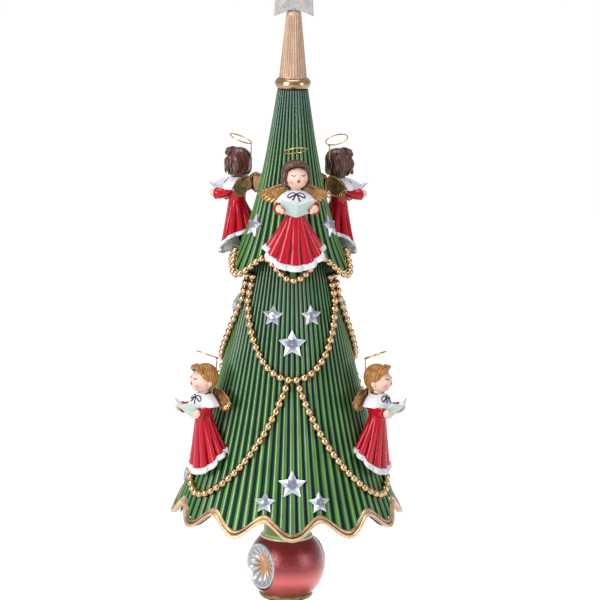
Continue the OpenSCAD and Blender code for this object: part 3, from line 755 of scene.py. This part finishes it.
def smooth_path(points, steps=8):
    """A curve through points (Catmull-Rom)."""
    p = np.asarray(points, float)
    p = np.vstack([2 * p[0] - p[1], p, 2 * p[-1] - p[-2]])
    out = []
    for i in range(1, len(p) - 2):
        for s in range(steps):
            t = s / steps
            out.append(0.5 * (2 * p[i] + (p[i + 1] - p[i - 1]) * t
                              + (2 * p[i - 1] - 5 * p[i] + 4 * p[i + 1] - p[i + 2]) * t ** 2
                              + (3 * p[i] - p[i - 1] - 3 * p[i + 1] + p[i + 2]) * t ** 3))
    out.append(p[-2])
    return np.array(out)


def lock(points, radius, sides=10, wave=0.0, turns=3.0, phase=0.0):
    """A lock of hair: a tapered tube that waves from side to side."""
    path = smooth_path(points)
    t = np.linspace(0, 1, len(path))
    path[:, 0] += wave * np.sin(2 * math.pi * turns * t + phase) * t
    path[:, 1] += wave * np.cos(2 * math.pi * turns * t + phase) * t
    return tube(path, radius, sides, taper=np.interp(t, [0, 0.15, 0.75, 1], [0.55, 1, 0.95, 0.35]))


def mounds(u, rows):
    """Sum of a face's mounds in the direction u, alike on both sides and only at its front."""
    if u[1] >= 0:
        return 0.0
    return sum(height * math.exp(-((abs(u[0]) - x) ** 2 / wide + (u[2] - z) ** 2 / tall))
               for height, x, z, wide, tall in rows)


class Angel:
    """One singing angel. Its shapes are drawn facing -Y and then moved to its place on the tree."""

    def __init__(self, name, azimuth, tier, out, fair, look):
        self.name, self.azimuth, self.tier, self.fair, self.look = name, azimuth, tier, fair, look
        self.foot = tier.hem_z + (9.2 if tier is UPPER else 41.2)
        self.out = tier.radius(self.foot + KNEE_Z) + out
        self.rise = 2.0 if tier is LOWER else 0.0
        self.hem_share = 0.86 if tier is LOWER else 1.0

    def world(self, points):
        p = np.asarray(points, float)
        a = math.radians(self.azimuth)
        x, y = p[:, 0], p[:, 1] - self.out
        return np.stack([x * math.cos(a) - y * math.sin(a), x * math.sin(a) + y * math.cos(a),
                         p[:, 2] + self.foot], 1)

    def add(self, label, node, part, mat, slot, raised=True, **looks):
        """Adds a piece to one of the figure's nodes. All but the skirt rides up on a taller figure."""
        lift = self.rise if raised else 0.0
        points = self.world(np.asarray(part[0], float) + (0, 0, lift))
        add_piece(f"{self.name}_{label}", (points, part[1]), f"{self.name}_{node}", mat, slot, **looks)

    def skirt_point(self, a, t, shrink=0.0):
        """A point of the skirt: a is the bearing round the figure, t runs from waist to hem."""
        ridge = abs(math.cos(math.radians(a * PLEATS / 2)))
        spread = 0.75 * t + 0.25 * t * t
        sa, ca = math.sin(math.radians(a)), math.cos(math.radians(a))
        rim_z = HEM_SIDE_Z - (HEM_BACK_LIFT if ca < 0 else HEM_FRONT_DROP) * ca
        deep = (0.02 + 0.16 * min(1, 1.6 * t)) * (1 - ridge ** 0.75)
        k = 1 + 0.035 * min(1, 2 * t) - deep - shrink
        x = (WAIST_W + (HEM_W * self.hem_share - WAIST_W) * spread) * sa * k
        y = HEM_BACK * spread - (WAIST_D + (HEM_D * self.hem_share - WAIST_D) * spread) * ca * k
        z = WAIST_Z + self.rise + (rim_z - WAIST_Z - self.rise) * t
        r = math.hypot(x, y - self.out)
        least = self.tier.radius(z + self.foot) - HEM_BED
        if r < least:
            s = least / r
            x, y = x * s, (y - self.out) * s + self.out
        return x, y, z, ridge

    def skirt(self):
        """The bodice and the pleated skirt, with painted shade in the valleys between the pleats, and an
        underside painted as the fur is.
        """
        steps, rows = 308, 26
        points, dirt = [], []
        for z, half_w, half_d in BODICE:
            for w in around(steps):
                fold = 1 - 0.03 * (1 - abs(math.cos(7 * w))) * (BODICE[0][0] - z) / 8
                points.append((half_w * math.sin(w) * fold, -half_d * math.cos(w) * fold, z + self.rise))
                dirt.append(0)
        for j in range(rows + 1):
            t = j / rows
            for i in range(steps):
                x, y, z, ridge = self.skirt_point(360 * i / steps, t * 0.965)
                points.append((x, y, z))
                # painted shade in each valley between pleats, stronger down the skirt; it also dulls their
                # gloss
                dirt.append(0.75 * max(0, 1 - ridge / 0.5) ** 1.5 * min(1, 0.3 + 2 * t))
        faces = grid_faces(len(BODICE) + rows + 1, steps)
        self.add("skirt", "robe", (points, faces), "red", "red_enamel", dirt=dirt, raised=False)

        lifts = ((0.03, 0.0), (0.3, 0.9), (0.6, 2.0), (0.9, 3.0))
        edge = 0.95  # how far down the skirt its underside meets it
        under = [(*self.skirt_point(360 * i / steps, edge, shrink)[:2],
                  self.skirt_point(360 * i / steps, edge)[2] + lift)
                 for shrink, lift in lifts for i in range(steps)]
        faces = grid_faces(len(lifts), steps)
        self.add("underside", "robe", (under, faces), "cape", "white_fur", raised=False)

    def sleeves(self):
        """Sleeves with rolled cuffs."""
        parts = []
        for side in (-1, 1):
            path = smooth_path([(side * 8.0, -0.5, 49.5), (side * 10.2, -4.0, 47.0),
                                (side * 11.8, -7.6, 45.8), (side * 12.5, -11.0, 45.8)], 5)
            t = np.linspace(0, 1, len(path))
            taper = np.interp(t, [0, 0.3, 0.5, 0.8, 1], [0.75, 0.88, 0.86, 0.96, 0.98])
            parts.append(tube(path, 4.2, 18, taper=taper))
            cuff = [path[-1] + (3.75 * math.cos(w), 0.2, 3.75 * math.sin(w)) for w in around(25)]
            parts.append(tube(cuff, 0.75, 8, closed=True))
        points, faces = join(parts)
        self.add("sleeves", "robe", (points, faces), "red", "red_enamel", dirt=[0.0] * len(points))

    def fur_hem(self):
        """Fur round the hem: tufts with a little gilding left in the hollows between them."""
        rng = np.random.default_rng(11)
        steps, sides = 480, 16
        white, gilding = np.array((0.80, 0.80, 0.86)), np.array((0.40, 0.28, 0.16))
        tuft = rng.uniform(-1, 1, (steps // 4, sides // 2))
        points, paint = [], []
        for i in range(steps):
            a = 360 * i / steps
            low, top = (np.array(self.skirt_point(a, t)[:3]) for t in (1.0, 0.885))
            middle, half = (low + top) / 2, (top - low) / 2
            out = np.array((math.sin(math.radians(a)), -math.cos(math.radians(a)), 0))
            for k, w in enumerate(around(sides)):
                column = (i + 2 * (k // 2 % 2)) // 4 % (steps // 4)  # every other row is half a tuft along
                lump = 0.7 * tuft[column, k // 2] + 0.3 * rng.uniform(-1, 1)
                swell = out * (1.2 * math.cos(w) * (1 + 0.17 * lump) + 0.1)
                points.append(middle + half * math.sin(w) * (1 + 0.08 * lump) + swell)
                edge = abs(math.sin(w)) > 0.88 and math.cos(w) > -0.4
                gilt = rng.random() < (0.30 if edge else 0.07)
                paint.append(gilding if gilt else white * (0.92 + 0.12 * lump))
        faces = grid_faces(steps, sides)
        faces += [((steps - 1) * sides + k, k, (k + 1) % sides, (steps - 1) * sides + (k + 1) % sides)
                  for k in range(sides)]
        self.add("fur_hem", "robe", (points, faces), "fur", "white_fur", paint=paint, raised=False)

    def cape(self):
        steps = 160
        rows = smooth_path(CAPE, 5)
        points = []
        for j, (z, a, b) in enumerate(rows):
            for w in around(steps):
                fold = 1 + 0.012 * math.sin(9 * w + 0.7) * min(1, j / 12)
                drop = 0.7 * math.cos(2 * w) * ramp(j, 8, 22)
                points.append((a * math.sin(w) * fold, -b * math.cos(w) * fold, z - drop + 0.5))
        self.add("cape", "robe", (points, grid_faces(len(rows), steps)), "cape", "white_fur")

    def hands(self):
        """Hands with the fingers laid along the covers of the book."""
        parts = []
        along, outward = np.array((0.0, -0.74, 0.67)), np.array((0.0, -0.67, -0.74))
        for side in (-1, 1):
            palm = np.array((side * 13.0, -13.8, 46.3))
            inward = np.array((-side * 0.92, -0.26, -0.29))
            parts.append(ball(palm, 2.95, 12, 18, (0.9, 0.95, 1.0)))
            for k in range(4):
                root = palm + along * (1.3 * k - 1.7) + outward * 0.9
                path = smooth_path([root, root + inward * 2.0 + outward * 0.7,
                                    root + inward * 3.9 - outward * 0.1], 4)
                parts.append(tube(path, 0.78, 8, taper=[0.95] * 7 + [0.85, 0.5]))
        points, faces = join(parts)
        skin = np.tile(np.array(srgb(226, 190, 172)), (len(points), 1))
        self.add("hands", "robe", (points, faces), "skin", "skin_paint", paint=skin)

    def ribbon(self):
        """A ribbon round the neck, tied in a bow on the cape."""
        collar = [(5.0 * math.sin(w), -5.0 * math.cos(w), 58.1 - 1.0 * math.cos(w)) for w in around(32)]
        knot = (0, cape_y(0, 56.4, 0.7), 56.2)
        parts = [tube(collar, 0.6, 8, closed=True), ball(knot, 0.85, 8, 12, (1.15, 0.7, 0.9))]
        for side in (-1, 1):
            for cord, lift in ((BOW_LOOP, 0.45), (BOW_TAILS[side], 0.4)):
                path = smooth_path([(side * x, cape_y(x, z, lift), z) for x, z in cord], 5)
                parts.append(tube(path, 0.5, 8))
        self.add("ribbon", "robe", join(parts), "navy", "navy_ribbon")

    def head(self):
        """A face turned a little to one side, with painted cheeks, closed eyes and an open mouth."""
        centre = np.array((0.0, -2.0, 67.5))
        radius = 8.55
        turn = self.look
        rings, steps = 64, 96
        skin, blush = np.array(srgb(228, 194, 176)), np.array(srgb(222, 104, 88))
        points, paint = [], []
        for j in range(rings + 1):
            lat = math.pi * (j / rings - 0.5)
            for lon in around(steps):
                u = np.array((math.cos(lat) * math.sin(lon), -math.cos(lat) * math.cos(lon), math.sin(lat)))
                jaw = 1 - 0.10 * max(0.0, -u[2]) ** 2
                points.append(centre + radius * u * (1 + mounds(u, FEATURES)) * (jaw, 1, 1))
                paint.append(skin + (blush - skin) * min(1, mounds(u, BLUSHES)))
        neck = tube([(0, 0, 57.5), (0, 0, 59), (0, -0.5, 61.5)], 3.9, 20)
        parts = [turn_z((points, grid_faces(rings + 1, steps, flip=True)), turn), neck]
        # the neck is painted a little darker than the face: painted shade under the chin
        paint += [skin * 0.95] * len(neck[0])
        if self.fair:
            for side in (-1, 1):
                rim = [(side * 9.35, 0.2 + 1.25 * math.cos(w), 66.4 + 1.6 * math.sin(w))
                       for w in np.linspace(-2.2, 2.2, 14)]
                ear = ball((side * 8.9, 0.2, 66.3), 2.1, 10, 14, (0.45, 0.8, 1.0))
                for part in (ear, tube(rim, 0.45, 8)):
                    parts.append(turn_z(part, turn))
                    paint += [skin * 0.98] * len(part[0])
        self.add("face", "head", join(parts), "skin", "skin_paint", paint=paint)

        def on_face(x, z, lift):
            """A point on the front of the face, from its middle."""
            y = -math.sqrt(max(0.1, radius ** 2 - x * x - z * z))
            return centre + np.array((x, y, z)) * (1 + lift / radius)

        parts = []
        for side in (-1, 1):
            for route, thick in ((LASH, 0.32), (BROW, 0.27)):
                path = smooth_path([on_face(side * x, z, 0.02) for x, z in route], 5)
                t = np.linspace(0, 1, len(path))
                line = tube(path, thick, 8, taper=np.interp(t, [0, 0.3, 0.8, 1], [0.5, 1, 1, 0.5]))
                parts.append(turn_z(line, turn))
        self.add("lashes", "head", join(parts), "lash", "hair_paint")
        mouth_z = -1.25
        mouth = ball(on_face(0, mouth_z, 0.05), 1.05, 10, 16, (0.8, 0.42, 1.05))
        lip = [on_face(0.85 * math.cos(w), mouth_z + 1.15 * math.sin(w), 0.15) for w in around(20)]
        self.add("mouth", "head", turn_z(mouth, turn), "mouth", "red_enamel")
        self.add("lips", "head", turn_z(tube(lip, 0.34, 8, closed=True), turn), "lips", "red_enamel")

    def hairline(self, outline, columns, back, flat):
        """How far down the outline the hair comes at each bearing, from 0 to 1. It stops at the
        round opening for the face and, on a boy, passes over the ear."""
        opening, opening_z = 8.6, 67.0
        ends = []
        for a in around(columns):
            stop = 1.0
            for s, (rho, z) in enumerate(outline):
                x, y = rho * math.sin(a), back - flat * rho * math.cos(a)
                if y < -1.5 and x * x + (z - opening_z) ** 2 < opening ** 2:
                    stop = s / (len(outline) - 1)
                    break
            bearing = abs(math.degrees(math.atan2(math.sin(a), math.cos(a))))
            if self.fair and 52 < bearing < 112:
                stop = min(stop, np.interp(bearing, [52, 70, 84, 98, 112], [0.50, 0.60, 0.585, 0.66, 1.0]))
            ends.append(stop)
        ends = np.array(ends)
        blur = ends.copy()
        for _ in range(4):
            blur = 0.25 * np.roll(blur, 1) + 0.5 * blur + 0.25 * np.roll(blur, -1)
        return np.minimum(ends, blur + 0.03)

    def comb(self, a, t):
        """Height of the combed strands at a bearing, a share t of the way down the hair."""
        if self.fair:
            return math.cos(30 * (a + 0.5 * t)) + 0.6 * math.cos(52 * a + 9 * t)
        waves = math.cos(7 * a + 1.5 * math.sin(2.6 * math.pi * t))
        return waves + 0.22 * math.cos(24 * a + 4 * math.sin(5 * t))

    def hair(self):
        """A cap of combed locks, cut away round the face, with waves for the girls and a
        swept front curl for the boys."""
        outline = smooth_path(SHORT_HAIR if self.fair else LONG_HAIR, 6)
        back, flat = 1.3, 0.9
        columns, rows, tucks = 264, 44, 2  # the last rows are tucked in under the edge
        depth = 0.16 if self.fair else 0.42
        ends = self.hairline(outline, columns, back, flat)
        points, dirt = [], []
        for j in range(rows + 1 + tucks):
            under = max(0, j - rows)
            for i, a in enumerate(around(columns)):
                t = min(j / rows, 1.0) * ends[i]
                s = t * (len(outline) - 1)
                rho, z = (np.interp(s, range(len(outline)), outline[:, k]) for k in (0, 1))
                comb = self.comb(a, t)
                r = rho + depth * comb * min(1.0, 4 * t) - 1.1 * under
                points.append((r * math.sin(a), back - flat * r * math.cos(a), z - 0.25 * (under > 0)))
                # painted shade in the grooves between the combed strands and on the rows tucked under the
                # edge
                dirt.append(0.4 * max(0.0, -comb) + 0.3 * (under > 0))
        locks = [lock(route, radius, 12, wave, turns, phase)
                 for route, radius, wave, turns, phase in (SHORT_FRINGE if self.fair else LONG_FRINGE)]
        if self.fair:
            locks += [lock([(side * x, y, z) for x, y, z in SIDEBURN], 1.0) for side in (-1, 1)]
        else:
            for side, long in ((-1, 1.3), (1, 0.75)):
                for k, (y, bottom) in enumerate(((-4.9, 61.0), (-2.9, 60.2), (-0.4, 60.0))):
                    route = [(side * x, y + shift, z)
                             for x, shift, z in (
                                 (8.6, -0.2, 73.0), (9.3, 0.0, 70.0), (9.1 + 0.3 * long, -0.3, 67.0),
                                 (9.0 + 0.3 * long, 0.2, 64.0), (7.9 + 0.4 * long, -0.4, bottom))]
                    thick = 1.65 * (1.0 if k else 0.85 * long)
                    locks.append(lock(route, thick, 10, 0.75 * long, 1.8, k * 1.9))
        parts = [(points, grid_faces(rows + 1 + tucks, columns))]
        for lock_points, faces in locks:
            parts.append(([(x, min(y, 10.9), z) for x, y, z in lock_points], faces))
            # the locks are darkened a little all over with the same colour
            dirt += [0.15] * len(lock_points)
        self.add("hair", "head", turn_z(join(parts), self.look), "hair_fair" if self.fair else "hair_brown",
                 "hair_paint", dirt=dirt)

    def feather(self, root, tip, width, y, bow):
        """A pointed blade with a raised quill on both faces, and its painted shade, darkest along its edges
        where the feathers overlap and towards its root.
        """
        root, tip = np.array(root, float), np.array(tip, float)
        run = tip - root
        length = np.linalg.norm(run)
        along, across = run / length, np.array((-run[1], run[0])) / length
        thick = 0.75 if bow < 0.3 else 0.7
        front, back, dirt = [], [], []
        rows, columns = 13, 9
        for s in range(rows):
            t = s / (rows - 1)
            half = width * (0.42 + 0.58 * math.sin(math.pi * min(1, t * 1.15 + 0.12))) * (1 - t ** 6)
            half = max(half, 0.04)
            for k in range(columns):
                v = 2 * k / (columns - 1) - 1
                x, z = root + along * length * t + across * (half * v + bow * math.sin(math.pi * t))
                crown = thick * (1 - v * v) ** 0.5 * (1 - 0.6 * t) + 0.2 * max(0, 1 - abs(v) * 4) - 0.3 * v
                front.append((x, y - crown, z))
                back.append((x, 2 * WING_Y - y + crown, z))
                # painted shade along the edges, where the feathers overlap, and towards the root
                dirt.append(0.95 * abs(v) ** 2.5 * (1 - 0.5 * t) + 0.12 * (1 - t))
        faces = grid_faces(rows, columns, closed=False)
        count = len(front)
        faces += [tuple(count + i for i in face[::-1]) for face in faces]
        for s in range(rows - 1):
            for edge in (0, columns - 1):
                a0, a1 = s * columns + edge, (s + 1) * columns + edge
                faces.append((a0, a1, count + a1, count + a0))
        return (front + back, faces), dirt + dirt

    def wings(self):
        """Two wings of overlapping feathers under a thick leading edge."""
        spread = 1.0 if self.tier is UPPER else 0.76
        count = len(LONG_FEATHERS)
        # root, tip, width, depth and bow, from the longest feathers to the shortest
        feathers = [((4.0 + 1.26 * (count - k), 57.5 - 0.9 * k), tip, 2.3, WING_Y - 0.05 * k, 0.5)
                    for k, tip in enumerate(LONG_FEATHERS)]
        feathers += [((7.0 - 0.7 * k, 58.4 - 0.9 * k), (20.5 - 2.6 * k, 52.8 - 1.0 * k), 2.1,
                      10.1 - 0.05 * k, 0.3) for k in range(6)]
        feathers += [((3.0, 59.0 - 1.2 * k), (13.5 - 2.3 * k, 56.2 - 1.4 * k), 1.9, 9.8, 0.2)
                     for k in range(4)]
        edge = smooth_path([(x, WING_Y, z) for x, z in WING_EDGE], 6)
        t = np.linspace(0, 1, len(edge))
        arm = tube(edge, 1.0, 12, taper=np.interp(t, [0, 0.25, 0.7, 1], [0.9, 1.0, 0.75, 0.3]))
        # the leading edge takes a light share of painted shade
        blades = [self.feather(*feather) for feather in feathers] + [(arm, [0.12] * len(arm[0]))]
        parts, dirt = [], []
        for side in (-1, 1):
            for (points, faces), dark in blades:
                parts.append(([(side * spread * x, y, z) for x, y, z in points], faces))
                dirt += dark
        heart = ball((0, WING_Y, 54.0), 4.6, 12, 18, (0.8, 0.2, 1.0))
        # the middle where the two wings meet is half in painted shade
        dirt += [0.5] * len(heart[0])
        self.add("feathers", "wings", join(parts + [heart]), "wing_gold", "wing_gold", dirt=dirt)

    def panel(self, side, inner, outer, y0, y1, low, high, curl):
        """A leaf or cover of the book on one side of its spine, leant like a lectern."""
        opening, tilt, spine_y, spine_z = math.radians(23), math.radians(48), -9.5, 39
        count = 10
        points, faces = [], []
        for depth in (y0, y1):
            for h in (low, high):
                for s in range(count + 1):
                    t = s / count
                    x, y = inner + (outer - inner) * t, depth + curl * math.sin(math.pi * t)
                    x, y = (x * math.cos(opening) - y * math.sin(opening),
                            x * math.sin(opening) + y * math.cos(opening))
                    y, z = y * math.cos(tilt) - h * math.sin(tilt), y * math.sin(tilt) + h * math.cos(tilt)
                    points.append((side * x, y + spine_y, z + spine_z))
        row = count + 1
        for s in range(count):
            a, b, c, d = s, row + s, 2 * row + s, 3 * row + s
            faces += [(a, a + 1, b + 1, b), (c, d, d + 1, c + 1), (a, c, c + 1, a + 1), (b, b + 1, d + 1, d)]
        faces += [(0, row, 3 * row, 2 * row), (count, 2 * row + count, 3 * row + count, row + count)]
        return points, faces

    def songbook(self):
        """An open book held by both hands: covers outwards, a block of leaves inside."""
        covers = [self.panel(side, -0.1, 13.0, 0.0, 0.4, 0.0, 16.8, 0.0) for side in (-1, 1)]
        leaves = [self.panel(side, 0.1, 12.6 - 0.25 * k, 0.45 + 0.26 * k, 0.62 + 0.26 * k, 0.4, 16.4, 0.22)
                  for side in (-1, 1) for k in range(3)]
        self.add("book_covers", "songbook", join(covers), "mint", "mint_paint", smooth=False)
        self.add("book_leaves", "songbook", join(leaves), "page", "page_paint", smooth=False)

    def halo(self):
        """A wire ring with its front raised, on a stem at the back of the head."""
        ring_r, wire, back, ring_z, tilt = 8.5, 0.45, 10.5, 83.5, math.radians(22)
        ring = []
        for w in around(60):
            x, y = ring_r * math.sin(w), ring_r * (math.cos(w) - 1)
            ring.append((x, back + y * math.cos(tilt), ring_z - y * math.sin(tilt)))
        stem = [(0, back - 0.3, 72), (0, back, 76), (0.15, back + 0.1, 80), (0, back, 83.4)]
        twist = [(0, back, 82.3), (0.75, back + 0.2, 82.9), (0.9, back, 83.7), (1.9, back - 0.2, 83.6)]
        parts = [tube(ring, wire, closed=True), tube(smooth_path(stem, 5), wire),
                 tube(smooth_path(twist, 5), 0.8 * wire, 8)]
        turn = 0 if self.fair else 15
        self.add("halo_wire", "halo", turn_z(join(parts), turn, (0.0, 2.0)), "wire", "gold_wire")

    def build(self):
        for make in (self.skirt, self.sleeves, self.fur_hem, self.cape, self.hands, self.ribbon, self.head,
                     self.hair, self.wings, self.songbook, self.halo):
            make()


# name, azimuth, tier, distance from the tier at the knees, fair hair, turn of the head
ANGELS = [("upper_front", 1.5, UPPER, 10.5, False, 7), ("upper_right", 120, UPPER, 10.5, False, 0),
          ("upper_left", -120, UPPER, 14.0, False, 0), ("lower_right", 60, LOWER, 11.5, True, 4),
          ("lower_left", -60, LOWER, 11.5, True, -4), ("lower_back", 180, LOWER, 11.5, True, 0)]


# ---------------------------------------------------------------- materials in use, and the whole tree

# Heights at which a material changes colour
TRUNK_Z = node_box("trunk_collar")[0][2]
BALL_Z = (node_box("ornament_ball")[0][2] + node_box("ornament_ball")[1][2]) / 2

# The colour a material gives its hollows is the colour of its painted shade, and on the gold lips also of
# worn gilding
MATS = {
    "green": material("green_reeds", rough=0.34, coat=0.85, coat_rough=0.1, paint=True, mottle=(0.22, 55),
                      bump=(0.12, 260), dull=True),
    "inside_green": material("inside_green", srgb(30, 62, 30), rough=0.6, mottle=(0.2, 60),
                             bump=(0.3, 200)),
    "gold_lip": material("gold_lip", srgb(226, 190, 150), rough=0.3, metal=0.6, coat=0.3,
                         mottle=(0.16, 220), bump=(0.5, 420), dirt=srgb(84, 58, 34)),
    "bead_gold": material("bead_gold", srgb(212, 178, 138), rough=0.14, metal=1.0, mottle=(0.12, 400),
                          bump=(0.12, 900)),
    "ring_gold": material("ring_gold", srgb(186, 156, 124), rough=0.2, metal=0.95, mottle=(0.3, 120),
                          bump=(0.3, 300)),
    "tip_gold": material("tip_gold", srgb(190, 160, 136), rough=0.45, metal=0.35, mottle=(0.12, 200),
                         bump=(0.35, 600), dirt=srgb(130, 92, 62)),
    "gem": material("star_gem", rough=0.2, metal=0.45, coat=1.0, coat_rough=0.03, paint=True,
                    mottle=(0.22, 420)),
    # the lighter salmon band across the ball's lower half is a painted reflection of the white floor
    "red_glitter": material("red_glitter", srgb(146, 34, 42), rough=0.3, metal=0.5, coat=1.0,
                            coat_rough=0.04, mottle=(0.6, 1100), bump=(0.5, 1500),
                            band=(BALL_Z - 21, BALL_Z - 3, 9, srgb(224, 104, 102))),
    "foil": material("reflector_foil", rough=0.3, metal=0.35, coat=0.5, paint=True, mottle=(0.08, 300)),
    "lime": material("lime_trunk", srgb(100, 128, 20), rough=0.3, coat=0.5, mottle=(0.25, 140),
                     bump=(0.2, 300), band=(TRUNK_Z - 0.2, TRUNK_Z + 3.3, 0.1, srgb(196, 208, 156))),
    "olive": material("olive_collar", srgb(128, 112, 56), rough=0.32, metal=0.35, coat=0.4,
                      mottle=(0.35, 160), bump=(0.3, 300)),
    "star_white": material("star_glitter", rough=0.5, paint=True, mottle=(0.14, 700), bump=(0.9, 1100)),
    "base_green": material("base_green", srgb(34, 84, 34), rough=0.3, coat=0.8, mottle=(0.2, 60),
                           bump=(0.1, 200), band=(1.8, 7.1, 0.1, srgb(206, 160, 96))),
    "felt": material("felt", srgb(22, 58, 32), rough=0.95, mottle=(0.25, 500), bump=(0.9, 1500), sheen=0.4),
    "steel": material("zinc", (0.56, 0.57, 0.6), rough=0.35, metal=1.0, mottle=(0.1, 300)),
    "red": material("robe_red", srgb(178, 0, 32), rough=0.2, coat=0.45, coat_rough=0.07, mottle=(0.1, 90),
                    bump=(0.04, 250), dirt=srgb(72, 0, 10), specular=0.2, dull=True),
    "fur": material("fur_hem", rough=0.75, paint=True, mottle=(0.1, 700), bump=(0.8, 1500), sheen=0.3),
    "cape": material("cape_white", srgb(226, 226, 233), rough=0.6, mottle=(0.07, 500), bump=(0.5, 1100),
                     sheen=0.2),
    "skin": material("skin", rough=0.42, coat=0.25, coat_rough=0.2, paint=True, mottle=(0.05, 200)),
    "lash": material("lash", srgb(92, 66, 58), rough=0.5, mottle=(0.1, 60)),
    "mouth": material("mouth", srgb(130, 14, 20), rough=0.3, coat=0.5, mottle=(0.1, 60)),
    "lips": material("lips", srgb(196, 60, 54), rough=0.35, coat=0.4, mottle=(0.1, 60)),
    "navy": material("ribbon_navy", srgb(26, 26, 46), rough=0.35, coat=0.4, mottle=(0.15, 60)),
    "hair_brown": material("hair_brown", srgb(86, 46, 38), rough=0.3, coat=0.45, coat_rough=0.12,
                           mottle=(0.25, 120), bump=(0.12, 350), dirt=srgb(26, 10, 10), specular=0.4),
    "hair_fair": material("hair_fair", srgb(164, 112, 44), rough=0.3, coat=0.4, coat_rough=0.12,
                          mottle=(0.2, 120), bump=(0.12, 350), dirt=srgb(88, 52, 18), specular=0.4),
    "wing_gold": material("wing_gold", srgb(196, 150, 100), rough=0.26, metal=0.9, mottle=(0.25, 260),
                          bump=(0.6, 800), dirt=srgb(96, 44, 20)),
    "mint": material("book_mint", srgb(188, 212, 202), rough=0.5, mottle=(0.05, 160), bump=(0.15, 500)),
    "page": material("book_leaves", srgb(226, 226, 238), rough=0.6, mottle=(0.04, 200), bump=(0.1, 400)),
    "wire": material("halo_wire", srgb(214, 176, 112), rough=0.25, metal=1.0, mottle=(0.15, 300)),
    "raw": material("raw_resin", srgb(150, 144, 130), rough=0.7, mottle=(0.1, 60), bump=(0.4, 250)),
}

add_camera()
add_studio()
build_tier(LOWER, rows=110, steps_per_rib=10, lip_h=5.6, lip_out=1.7, wall=6.0)
build_tier(UPPER, rows=80, steps_per_rib=14, lip_h=2.0, lip_out=0.8, wall=5.0)
for strand in ("upper_garland_front", "upper_garland_right", "upper_garland_left",
               "lower_garland_right", "lower_garland_left", "lower_garland_back"):
    build_beads(strand, radius=2.92)
build_beads("hem_beads", radius=2.58)
build_gems()
build_ball()
build_tip()
build_star()
for plain, paint_name in (("trunk_collar", "lime"), ("lower_collar", "olive"), ("base_stem", "ring_gold"),
                          ("base_plinth", "base_green"), ("felt_pad", "felt"), ("skirt_floor", "raw"),
                          ("tie_rod", "steel"), ("rod_nut", "steel"), ("rod_washer", "steel"),
                          ("star_peg", "steel")):
    use_material(plain, paint_name)

for row in ANGELS:
    Angel(*row).build()
